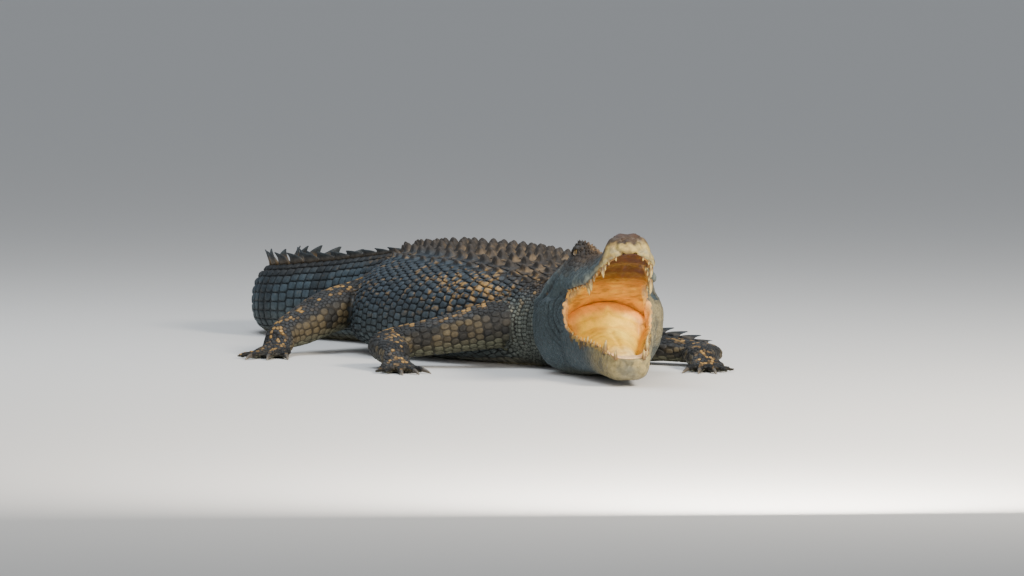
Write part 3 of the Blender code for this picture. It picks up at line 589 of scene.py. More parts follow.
def dressed(obj, colours, material, slot, spots=None):
    """The object as a finished piece, with a colour for each vertex and, where spots are given, a place on the coat's
    map for each vertex.
    """
    data = obj.data
    layer = data.color_attributes.new("tint", "FLOAT_COLOR", "POINT")
    layer.data.foreach_set("color", np.concatenate([colours, np.ones((len(colours), 1))], axis=1).ravel())
    if spots is not None:
        corners = read(data.loops, "vertex_index", 1, np.int64)[:, 0]
        data.uv_layers.new(name="OFBake").data.foreach_set("uv", spots[corners].ravel())
    data.polygons.foreach_set("use_smooth", np.ones(len(data.polygons), bool))
    data.update()
    data.materials.clear()
    data.materials.append(material)
    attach(obj, "root")
    return obj


def kd_tree(points):
    tree = KDTree(len(points))
    for i, point in enumerate(points.tolist()):
        tree.insert(point, i)
    tree.balance()
    return tree


# ---- Surfaces that carry scales ------------------------------------------------------------------


class Surface:
    """A place to grow scales: point(u, q), its region, and its corner and size on the coat's map."""

    def __init__(self, point, region, chart, extent, hand=1):
        self.point, self.region, self.chart, self.extent = point, region, chart, extent
        self.hand = hand  # -1 where u runs towards the tail

    def axes(self, u, q):
        """(points, outward normals, directions along u, directions along q, metres per u, metres per q)."""
        reach = 0.002
        along = (self.point(u + reach, q) - self.point(u - reach, q)) / (2 * reach)
        across = (self.point(u, q + reach) - self.point(u, q - reach)) / (2 * reach)
        per_u, per_q = np.linalg.norm(along, axis=-1), np.linalg.norm(across, axis=-1)
        return (self.point(u, q), unit(np.cross(along, across)) * self.hand, unit(along), unit(across),
                np.maximum(per_u, 1e-6), np.maximum(per_q, 1e-6))

    def on_map(self, u, q):
        left, low, wide, tall = self.chart
        start, end = self.extent
        return np.stack([left + wide * (u - start) / (end - start), low + tall * (q + 1) / 2], axis=-1)


BODY = Surface(body, TORSO, (0.02, 0.02, 0.96, 0.40), (NECK_FRONT, TAIL_TIP), hand=-1)
UPPER_JAW = Surface(lambda x, q: placed(UPPER, outline_point(head_outline, x, q)), UPPER_HEAD,
                    (0.02, 0.46, 0.44, 0.24), HEAD_REACH)
LOWER_JAW = Surface(lambda x, q: placed(LOWER, outline_point(jaw_outline, x, q)), LOWER_HEAD,
                    (0.52, 0.46, 0.44, 0.24), JAW_REACH)


def limbs():
    """(surface, tube, name) of each limb's parts, and (tip, direction, radius) of each clawed toe."""
    parts, claws = [], []
    for number, (name, leg) in enumerate(LEGS.items()):
        left = 0.02 + 0.24 * number
        tube = leg_tube(leg)
        palm, toes, _, tips = foot_tubes(leg)
        rows = [(tube, LIMB, (left, 0.74, 0.22, 0.12)), (palm, FOOT, (left, 0.88, 0.06, 0.10))]
        rows += [(toe, FOOT, (left + 0.07 + 0.03 * k, 0.88, 0.025, 0.10)) for k, toe in enumerate(toes)]
        parts += [(Surface(part.point, region, chart, (0, part.length)), part, name) for part, region, chart in rows]
        claws += tips[:CLAWED]
    return parts, claws


LIMBS, CLAWS = limbs()

# ---- Markings: the same for the skin and for every scale -----------------------------------------

BACK, BACK_TAN = (0.026, 0.021, 0.017), (0.150, 0.104, 0.058)
FLANK, FLANK_PALE, BELLY = (0.025, 0.037, 0.049), (0.078, 0.096, 0.094), (0.26, 0.235, 0.15)
TAIL_SIDE, TAIL_DARK = (0.037, 0.057, 0.072), (0.010, 0.013, 0.016)
GOLD, BLOTCH = (0.31, 0.185, 0.058), (0.008, 0.009, 0.010)
LEG, LEG_TOP, LEG_LOW = (0.070, 0.054, 0.029), (0.024, 0.026, 0.028), (0.098, 0.104, 0.070)
# The jowl's two colours are lit and shaded copies of one hide: the dark bluish one is painted shade, the cream one
# painted sunlight on the animal's left.
NECK_PALE, JOWL_SHADED, JOWL_SUNLIT = (0.110, 0.122, 0.104), (0.040, 0.058, 0.066), (0.330, 0.265, 0.125)
SNOUT, SNOUT_PALE, NOSE = (0.046, 0.030, 0.018), (0.385, 0.285, 0.090), (0.058, 0.028, 0.020)
SNOUT_SPOT, LOBE_GUM_AND_SHADOW = (0.150, 0.092, 0.036), (0.050, 0.026, 0.012)
LIP_BLUE, LIP_EDGE, BULGE_HIGHLIGHT = (0.040, 0.060, 0.068), (0.19, 0.205, 0.160), (0.19, 0.215, 0.185)
# The two cheek colours are painted highlights: a paler band along the cheek and a paler ridge over its hollow.
CHEEK_BAND_HIGHLIGHT, CHEEK_RIDGE_HIGHLIGHT = (0.120, 0.145, 0.145), (0.120, 0.150, 0.160)
BROW_DARK_AND_SHADE, BROW_TAN = (0.014, 0.013, 0.012), (0.190, 0.120, 0.062)
GUM_TAN, GUM_OLIVE, GUM_DARK = (0.46, 0.25, 0.055), (0.30, 0.20, 0.045), (0.050, 0.032, 0.016)
LINING = (0.78, 0.42, 0.12)
DARKEST, PALEST = 0.004, 0.95
BROW_PLACE = 0.180


def jowl_rings(co):
    """Where the creases run that ring the corner of the mouth, from 0 to 1."""
    local = local_to(LOWER, co)
    far = np.hypot(local[:, 0] - 0.168, local[:, 2] - 0.052)
    wave = np.abs(np.sin(math.pi * (far + 0.012 * rough(co, 0.055, 77, 2)) / 0.0205))
    return (1 - wave ** 0.8) * bump(far - 0.058, 0.052) * (1 - step(local[:, 0], 0.15, 0.19))


def festoons(x, share):
    """The two bulges and the lesser one between them that each side of the upper lip makes."""
    waves = bump(x - 0.290, 0.024) + bump(x - 0.415, 0.026) + 0.6 * bump(x - 0.350, 0.016)
    return waves * bump(share - 0.57, 0.10)


def cheek(co):
    """How strongly a point lies in the hollow behind the mouth's corner, and on the ridge over it."""
    local = local_to(UPPER, co)
    slope = local[:, 2] - 0.42 * (local[:, 0] - 0.06) + 0.006 * rough(co, 0.05, 83, 2)
    there = bump(local[:, 0] - 0.065, 0.065) * step(np.abs(local[:, 1]), 0.07, 0.10)
    return bump(slope - 0.050, 0.015) * there, bump(slope - 0.083, 0.015) * there


# Painted shade darkens the hollow behind the mouth's corner, and a painted highlight pales the ridge over it.
def cheek_shade_and_highlight(colour, co):
    hollow, ridge = cheek(co)
    return mix(colour * (1 - 0.62 * hollow)[:, None], CHEEK_RIDGE_HIGHLIGHT, ridge * 0.45)


# Each of the four takes points' places, with noise in wide lumps w, finer ones f and specks k.


def torso_colour(s, q, co, w, f, k):
    share = np.abs(q)
    arc = share * girth(s)
    tail = step(s, 0.50, 0.72)
    top = 1 - step(arc + 0.02 * w, 0.10 - 0.03 * tail, 0.20 - 0.06 * tail)
    bands = np.sin(2 * math.pi * (s - 0.56) / 0.25 + 1.2 * w)
    patches = step(w + 0.35 * f, 0.22, 0.50) * (1 - tail) * step(arc, 0.10, 0.2) * (1 - step(share, 0.55, 0.72))
    dusty = 0.35 * (1 - tail) + 0.9 * bump(s + 0.30, 0.17) * bump(share - 0.33, 0.14)
    golden = (step(k + 0.4 * f, 0.42 - 0.34 * dusty, 0.58 - 0.30 * dusty) * (1 - step(share, 0.40, 0.54))
              * step(share, 0.12, 0.22))
    return layered(
        mix(FLANK, TAIL_SIDE, tail),
        (FLANK_PALE, step(share, 0.40, 0.70) * 0.8),
        (BELLY, step(share, 0.70, 0.84)),
        (mix(BACK, TAIL_DARK, tail * 0.6), top * 0.92),
        (BACK_TAN, top * step(f + 0.6 * k, -0.20, 0.40) * 0.75 * (1 - tail)),
        (TAIL_DARK, step(bands, 0.15, 0.8) * tail * (1 - step(share, 0.62, 0.8)) * 0.65),
        (BLOTCH, patches * 0.45),
        (GOLD, golden * (0.30 + 0.40 * dusty) * (1 - 0.7 * tail)),
        (NECK_PALE, (1 - step(s, -0.52, -0.40)) * step(share + 0.05 * f, 0.26, 0.46) * 0.9))


def leg_colour(u, q, co, w, f, k):
    up = 1 - np.abs(q)
    spots = step(rough(co, 0.050, 21, 3) + 0.25 * w, -0.03, 0.09) * step(up, 0.26, 0.42)
    return layered(
        mix(LEG, LEG_TOP, np.maximum(step(up + 0.10 * f, 0.62, 0.74), step(w, 0.10, 0.40) * 0.6)),
        (LEG_LOW, (1 - step(up, 0.20, 0.44)) * 0.8),
        (BLOTCH, spots * 0.86),
        (GOLD, step(k + 0.3 * f, 0.06, 0.34) * step(up, 0.76, 0.88) * 0.85))


def upper_colour(x, q, co, w, f, k):
    share, local = np.abs(q), local_to(UPPER, co)
    band = 0.52 - 0.22 * step(x, 0.570, 0.592)
    cream = mix(SNOUT_PALE, SNOUT_SPOT, step(k + 0.5 * f, -0.05, 0.40) * 0.7)
    front = step(x, 0.556, 0.578)
    below = 0.047 + 0.016 * f + 0.014 * k - local[:, 2]
    under = step(0.018 + 0.006 * f - local[:, 2], 0.0, 0.007) * bump(local[:, 1], 0.040)
    brow = bump(x - BROW_PLACE, 0.042) * (1 - step(share, 0.16, 0.25))
    rear = 1 - step(x, 0.17, 0.23)
    edge = 0.735 + 0.13 * rear + 0.15 * step(x, 0.550, 0.575)
    lined = step(share, edge, edge + 0.05) * step(x, 0.125, 0.150) * (1 - step(x, 0.578, 0.590))
    # painted sunlight: the left rear of the head takes the sunlit jowl colour
    sunlit_side = step(q + 0.04 * f, 0.32, 0.50) * (1 - step(x, 0.10, 0.24)) * step(0.62 - share, 0.0, 0.06)
    return cheek_shade_and_highlight(layered(
        mix(SNOUT, LIP_BLUE, step(share + 0.04 * f, 0.28, 0.44) * (1 - step(x, 0.46, 0.54))),
        (BACK_TAN, step(f, 0.05, 0.5) * (1 - step(share, 0.3, 0.5)) * 0.6),
        (cream, step(x, 0.44, 0.51) * step(share + 0.05 * f + 0.02 * k, band, band + 0.10)),
        (cream, step(below, -0.002, 0.010) * front),
        # dark gum under the snout's front lobe, partly painted shadow under its overhang
        (LOBE_GUM_AND_SHADOW, under * front * 0.9),
        # painted highlight on the festoon bulges of the upper lip
        (BULGE_HIGHLIGHT, festoons(x, share) * step(f + 0.4 * k, -0.35, 0.15) * 0.75),
        # painted highlight: a paler band along the swelling of the cheek
        (CHEEK_BAND_HIGHLIGHT, bump(share - 0.47, 0.06) * step(x, 0.14, 0.22) * step(-f, -0.2, 0.3) * 0.5),
        (LIP_EDGE, bump(share - 0.64, 0.06) * step(x, 0.20, 0.30) * 0.45),
        (NOSE, bump(x - NOSE_PLACE, 0.024) * (1 - step(share, 0.17, 0.22))),
        (BLOTCH, step(k, 0.38, 0.55) * (1 - step(share, 0.45, 0.6)) * 0.6 * (1 - step(x, 0.48, 0.54))),
        # dark brow, partly its own colour and partly painted shade round the eye under the brow's overhang
        (BROW_DARK_AND_SHADE, bump(x - BROW_PLACE, 0.044) * bump(share - 0.23, 0.13) * 0.92),
        (BROW_TAN, brow * (1 - step(share + 0.03 * k, 0.09, 0.16)) * step(k, -0.2, 0.3) * 0.9),
        (mix(GUM_TAN, LINING, rear), lined * 0.92),
        (JOWL_SUNLIT, sunlit_side * 0.30)), co)


def lower_colour(x, q, co, w, f, k):
    share = np.abs(q)
    base = layered(
        # the animal's left side of the jowl takes the painted sunlit copy, the rest the painted shaded copy
        mix(JOWL_SHADED, JOWL_SUNLIT, step(q + 0.04 * f, 0.30, 0.46) * step(x + 0.02 * f, -0.09, 0.10) * 0.75),
        (np.array(JOWL_SHADED) * 1.6, step(share + 0.08 * f, 0.55, 0.80) * 0.8))
    base = layered(
        # painted shade in the creases that ring the mouth's corner
        base * (1 - 0.80 * jowl_rings(co) * step(share, 0.34, 0.42))[:, None],
        (SNOUT_PALE, step(x, 0.32, 0.50) * 0.55),
        (BELLY, step(share, 0.76, 0.94) * 0.6),
        (np.array(JOWL_SHADED) * (0.55, 0.60, 0.62), step(f + w * 0.5, 0.10, 0.45) * 0.5),
        (BLOTCH, step(k, 0.42, 0.6) * step(share, 0.4, 0.5) * 0.30))
    gums = layered(
        mix(GUM_TAN, GUM_OLIVE, step(share, 0.36, 0.42) * 0.8),
        (GUM_DARK, step(k + 0.4 * f, -0.12, 0.16) * 0.88),
        (np.array(LINING) * (1 + 0.2 * f[:, None]), 1 - step(x, 0.19, 0.22)))
    ragged = step(x, 0.20, 0.25) * (1 - step(x, 0.52, 0.56))
    edge = 0.35 + (0.145 + 0.05 * f + 0.03 * k) * ragged - 0.27 * (1 - step(x, 0.115, 0.150))
    gummy = (1 - step(share, edge, edge + 0.05 - 0.03 * ragged)) * (1 - step(x, 0.570, 0.582))
    return mix(cheek_shade_and_highlight(base, co), gums, gummy * 0.95)


PAINTERS = {TORSO: torso_colour, LIMB: leg_colour, FOOT: leg_colour, UPPER_HEAD: upper_colour,
            LOWER_HEAD: lower_colour}


def markings(region, u, q, co):
    """Linear colours of the hide, from the region and place of each point."""
    colour = np.zeros((len(u), 3))
    noise = rough(co, 0.11, 1), rough(co, 0.022, 5), rough(co, 0.011, 9, 2)
    for number, painter in PAINTERS.items():
        at = region == number
        colour[at] = painter(u[at], q[at], co[at], *(lumps[at] for lumps in noise))
    return np.clip(colour * (1 + 0.10 * noise[1][:, None]), DARKEST, PALEST)


# ---- The skin's folds ----------------------------------------------------------------------------


def torso_folds(s, share, co, wide, fine):
    neck = step(s, NECK_FRONT, -0.72) * (1 - step(s, -0.50, -0.36)) * step(share, 0.14, 0.34)
    neck = neck * (1 - step(share, 0.80, 0.95))
    crease = np.abs(np.sin(math.pi * (s + 0.10 * share + 0.012 * wide) / 0.034)) ** 0.6
    shoulder = bump(s + 0.34, 0.10) * bump(share - 0.55, 0.20)
    return neck * (crease - 0.6) * 0.0052 + 0.0008 * fine + shoulder * (crease - 0.6) * 0.004


def lower_folds(x, share, co, wide, fine):
    outer = step(share, 0.40, 0.48)
    jowl = bump(x - 0.02, 0.075) * outer * (1 - step(share, 0.60, 0.82))
    wrinkle = np.abs(np.sin(math.pi * (x + 0.22 * share + 0.014 * wide) / 0.022)) ** 0.6
    along_lip = np.sin(math.pi * (x + 0.01 * wide) / 0.019) * bump(share - 0.47, 0.06)
    rings = jowl_rings(co) * outer
    knobs = np.maximum(rough(co, 0.012, 43, 2), -0.2) * bump(share - 0.41, 0.10) * step(x, 0.19, 0.24)
    return (jowl * (wrinkle - 0.65) * 0.0024 - 0.0058 * rings + 0.0012 * along_lip + 0.0010 * fine * outer
            + 0.0062 * knobs - 0.0022 * np.maximum(rough(co, 0.030, 45, 2), 0) * outer)


def upper_folds(x, share, co, wide, fine):
    local = local_to(UPPER, co)
    knobs = np.sin(2 * math.pi * (x + 0.006 * fine) / 0.021) * bump(share - 0.55, 0.06)
    lumps = bump(share - 0.22, 0.10) * np.maximum(rough(co, 0.013, 41, 2), 0) * bump(x - 0.16, 0.09)
    from_lobe = np.hypot(local[:, 1] / 0.032, (local[:, 2] - 0.035) / 0.019)
    front = step(x, 0.558, 0.584)
    lobe = front * (np.sqrt(np.clip(1 - from_lobe ** 2, 0, 1)) - 0.60 * bump(from_lobe - 1.12, 0.16))
    lobe -= 0.5 * front * step(0.016 - local[:, 2], 0.0, 0.010) * bump(local[:, 1], 0.036)
    groove = bump(share - 0.43, 0.035) * step(x, 0.42, 0.50) * (1 - step(x, 0.575, 0.590))
    disk = bump(share - 0.185, 0.022) * bump(x - NOSE_PLACE, 0.026)
    pores = np.maximum(rough(co, 0.0065, 47, 1), 0) * step(x, 0.42, 0.50)
    corner = step(x, 0.46, 0.53) * bump(share - 0.20, 0.075)
    swells = rough(co, 0.036, 49, 2) * step(x, 0.10, 0.18) * (1 - step(x, 0.44, 0.50)) * bump(share - 0.42, 0.14)
    return (0.0014 * knobs + 0.0030 * lumps + 0.0009 * fine + 0.0062 * festoons(x, share) + 0.0060 * lobe
            - 0.0024 * groove + 0.0016 * disk - 0.0009 * pores - 0.0052 * corner + 0.0075 * swells)


FOLDS = {TORSO: torso_folds, LOWER_HEAD: lower_folds, UPPER_HEAD: upper_folds}


def folds(region, u, q, co):
    """How far the hide stands out in its folds and wrinkles."""
    out = np.zeros(len(u))
    noise = rough(co, 0.09, 31), rough(co, 0.020, 35)
    for number, folded in FOLDS.items():
        at = region == number
        out[at] = folded(u[at], np.abs(q[at]), co[at], *(lumps[at] for lumps in noise))
    at = (region == UPPER_HEAD) | (region == LOWER_HEAD)
    hollow, ridge = cheek(co[at])
    out[at] += 0.0045 * ridge - 0.0085 * hollow
    return out


# ---- The skin ----------------------------------------------------------------------------------


def torso_grids():
    stations = np.concatenate([np.arange(NECK_FRONT + 0.01, TAIL_TIP - 0.02, 0.016),
                               [TAIL_TIP - 0.012, TAIL_TIP - 0.003]])
    s, q = around(stations, 72)
    deeper = 0.0028 * bump(s - TAIL_TURN, 0.30)  # where the tail's coat stands out most from its flat faces
    grids = [body(s, q, -np.minimum(COAT + deeper, 0.3 * half_width(s)))]
    for leg in LEGS.values():
        palm, toes, webs, _ = foot_tubes(leg, COAT * 0.6)
        grids += [leg_tube(leg, COAT * 0.8).rings(40, 28), palm.rings(16, 28)]
        grids += [part.rings(12, 16) for part in toes + webs]
    return grids


def eye_centre(side):
    return placed(UPPER, (EYE_PLACE[0], side * EYE_PLACE[1], EYE_PLACE[2]))


def head_grids():
    grids = []
    for jaw, rows in ((UPPER_JAW, 100), (LOWER_JAW, 120)):
        points, outward, *_ = jaw.axes(*around(np.linspace(*jaw.extent, rows), 72))
        grids.append(points - outward * HEAD_COAT)
        grids[-1][..., 2] = np.maximum(grids[-1][..., 2], SOLE)
    for side in (-1, 1):
        u, v = np.meshgrid(np.linspace(0, math.pi, 14)[1:-1], circle(24), indexing="ij")
        ball = np.stack([np.cos(u), np.sin(u) * np.cos(v), np.sin(u) * np.sin(v)], axis=-1)
        grids.append(eye_centre(side) + ball * (EYE_RADIUS + 0.0032))
    return grids


def placed_on(co):
    """(region, u, q) of points near the hide, from the nearest of many samples of its surfaces."""
    grids = [(BODY, np.arange(NECK_FRONT, TAIL_TIP, 0.015), 64)]
    grids += [(jaw, np.linspace(*jaw.extent, 70), 80) for jaw in (UPPER_JAW, LOWER_JAW)]
    grids += [(surface, np.linspace(0, tube.length, 24), 24) for surface, tube, _ in LIMBS]
    rows = []
    for surface, us, count in grids:
        u, q = (v.ravel() for v in around(us, count))
        points, _, along, across, per_u, per_q = surface.axes(u, q)
        rows.append(np.column_stack([points, along, across, per_u, per_q, u, q, np.full(len(u), surface.region)]))
    rows = np.concatenate(rows)
    tree = kd_tree(rows[:, :3])
    row = rows[[tree.find(point)[1] for point in co.tolist()]]
    away = co - row[:, :3]
    u = row[:, 11] + np.clip(dots(away, row[:, 3:6]), -0.02, 0.02) / row[:, 9]
    q = row[:, 12] + np.clip(dots(away, row[:, 6:9]), -0.02, 0.02) / row[:, 10]
    return row[:, 13].astype(int), u, q


ALMOND_POINTS = 24


def almond(half_long, half_tall):
    """Points round an almond shape, as (across, up)."""
    turn = circle(ALMOND_POINTS)
    return np.stack([half_long * np.cos(turn), half_tall * np.sin(turn) * np.abs(np.sin(turn)) ** 0.35], axis=-1)


def eye_frame(side):
    """(forward, outward, up) of an eye, which looks outwards and forwards and a little down."""
    outward = unit(np.array([0.86, side * 1.0, -0.10]))
    forward = unit(np.array([1.0, -side * 0.86, -0.14]))
    forward = unit(forward - outward * forward.dot(outward))
    return (turned(UPPER, forward), turned(UPPER, outward), turned(UPPER, np.cross(outward, forward) * -side))


def slit(line, thinnest, thicker, tall):
    """A thin closed tube along a line in the upper jaw's frame, thickest at its middle."""
    count = len(line)
    thin = [thinnest + thicker * math.sin(math.pi * (k + 0.5) / count) for k in range(count)]
    return Tube([placed(UPPER, point) for point in line], thin, [tall] * count).rings(16, 10)


def head_cutters():
    """Openings of the lids, the nostrils and the ear flaps."""
    grids = []
    nose_top = head_top(NOSE_PLACE) + 0.0035
    for side in (-1, 1):
        forward, outward, up = eye_frame(side)
        grids.append(np.array([[eye_centre(side) + forward * a + up * c + outward * depth
                                for a, c in almond(0.0185, 0.0092)] for depth in (0.006, 0.040)]))
        grids.append(slit([(NOSE_PLACE + 0.0085 * math.cos(t), side * (0.0135 + 0.0065 * math.sin(t)), nose_top)
                           for t in np.linspace(-2.0, 1.5, 9)], 0.0006, 0.0020, 0.0075))
        grids.append(slit([(x, side * (table_width(x) + 0.004), head_top(x) - 0.012)
                           for x in np.linspace(0.048, 0.140, 8)], 0.0004, 0.0012, 0.006))
    return grids


def make_skin():
    trunk = remeshed(torso_grids(), "hide_torso", BODY_VOXEL)
    co = coordinates(trunk.data)
    weight = np.zeros(len(co))
    for leg in LEGS.values():
        for place, reach in ((leg["points"][1], 0.085), (leg["points"][0], 0.10)):
            weight = np.maximum(weight, 0.7 * bump(np.linalg.norm(co - np.array(place), axis=1), 0.7 * reach))
    relax(trunk.data, np.full(len(co), 0.5), 3)
    relax(trunk.data, weight * 0.9, 24)

    head = remeshed(head_grids(), "hide_head", HEAD_VOXEL)
    relax(head.data, np.full(len(head.data.vertices), 0.5), 2)
    x, y, z = local_to(UPPER, coordinates(head.data)).T
    corner = bump(z - 0.038, 0.030) * (1 - step(x, 0.13, 0.20)) * step(np.abs(y), 0.08, 0.11)
    relax(head.data, corner * 0.95, 140)
    carved(head, new_object("head_cutter", closed(head_cutters(), "cutter")), "DIFFERENCE")

    skin = carved(trunk, head, "UNION")
    past_nape = coordinates(skin.data) - placed(UPPER, (-0.05, 0, 0.02))
    behind = step(-past_nape @ turned(UPPER, (1.0, 0, 0)), -0.06, 0.0)
    seam = bump(np.linalg.norm(past_nape, axis=1) - 0.10, 0.06) * behind
    relax(skin.data, seam * 0.8, 16)
    co = coordinates(skin.data)
    region, u, q = placed_on(co)
    co += read(skin.data.vertex_normals, "vector", 3) * folds(region, u, q, co)[:, None]
    co[:, 2] = np.maximum(co[:, 2], 0.0)
    move(skin.data, co)
    triangles = sum(len(face.vertices) - 2 for face in skin.data.polygons)
    modified(skin, "DECIMATE", ratio=min(1.0, SKIN_TRIANGLES / triangles))
    skin.name = skin.data.name = "skin"
    return skin


# ---- Scales --------------------------------------------------------------------------------------


def nearest(tree, points):
    """(places, normals) of the closest spots of the skin."""
    flat = np.asarray(points, float).reshape(-1, 3)
    found = np.array([[*place, *normal] for place, normal, *_ in map(tree.find_nearest, flat.tolist())])
    return found[:, :3].reshape(np.shape(points)), found[:, 3:].reshape(np.shape(points))


class Seeds:
    """Roots of scales on the skin, taken in order: a later one gives way to those already there."""

    def __init__(self, tree):
        self.tree, self.groups = tree, []

    def gather(self):
        """Notes every root so far, with its size."""
        self.all = np.concatenate([group.place for group in self.groups])
        self.sizes = np.concatenate([group.radius for group in self.groups])
        self.near = kd_tree(self.all)

    def add(self, surface, u, q, long, wide, crowding=0.62, deepest=-0.007, highest=0.013):
        """A group of roots, less those off the skin and those too near to one that is there already."""
        u, q, long, wide = np.broadcast_arrays(u, q, long, wide)
        points, outward, along, _, per_u, per_q = surface.axes(u, q)
        place, facing = nearest(self.tree, points)
        rise = dots(points - place, facing)
        good = (rise > deepest) & (rise < highest) & (dots(outward, facing) > 0.35) & (place[:, 2] > 0.003)
        radius = np.minimum(long, wide)
        if self.groups:
            self.gather()
            for i in np.nonzero(good)[0]:
                _, other, distance = self.near.find(place[i].tolist())
                good[i] = distance > crowding * (radius[i] + self.sizes[other])
        rows = {"u": u, "q": q, "place": place, "outward": outward, "along": along,
                "across": unit(np.cross(outward, along)), "long": long, "wide": wide, "radius": radius,
                "per_u": per_u, "per_q": per_q}
        self.groups.append(SimpleNamespace(surface=surface, **{key: row[good] for key, row in rows.items()}))
        return self.groups[-1]

    def outline(self, group, directions, sharpness, groove):
        """How far each scale reaches in each direction before it meets its neighbours' grooves."""
        count = 13
        index = np.array([[n for _, n, _ in self.near.find_n(point, count)] for point in group.place.tolist()])
        away = self.all[index[:, 1:]] - group.place[:, None]
        a, b = dots(away, group.along[:, None]), dots(away, group.across[:, None])
        distance = np.maximum(np.hypot(a, b), 1e-5)
        radius = group.radius[:, None]
        share = radius / (radius + self.sizes[index[:, 1:]])
        turn = circle(directions)
        facing = (a[..., None] * np.cos(turn) + b[..., None] * np.sin(turn)) / distance[..., None]
        pressure = (np.maximum(facing, 0) / (distance * share)[..., None]) ** sharpness
        limit = 1 / (1.30 * np.hypot(group.long[:, None] * np.cos(turn), group.wide[:, None] * np.sin(turn)))
        limit = np.minimum(limit, 1 / (1.30 * radius))
        reach = (pressure.sum(1) + limit ** sharpness) ** (-1 / sharpness)
        return turn, np.maximum(reach - groove, 0.25 * radius)


def columns(surface, places, low, high, pitch, jitter, stagger):
    """(u, q, half width) of seeds in columns across a surface; low, high and pitch are numbers or functions of u."""
    found = []
    for i, u in enumerate(places):
        start, end, apart = (rule(u) if callable(rule) else rule for rule in (low, high, pitch))
        q = np.linspace(start, end, 80)
        points = surface.point(np.full(80, float(u)), q)
        arc = running(np.linalg.norm(np.diff(points, axis=0), axis=1))
        count = max(1, int(round(arc[-1] / apart)))
        room = arc[-1] / count
        for side in (-1, 1):
            shift = (stagger if i % 2 else -stagger) + jitter * RANDOM.uniform(-1, 1, count)
            at = np.interp((np.arange(count) + 0.5 + shift) * room, arc, q)
            found.append((u + jitter * room * RANDOM.uniform(-1, 1, count), side * at, np.full(count, room / 2)))
    return np.concatenate(found, axis=1)


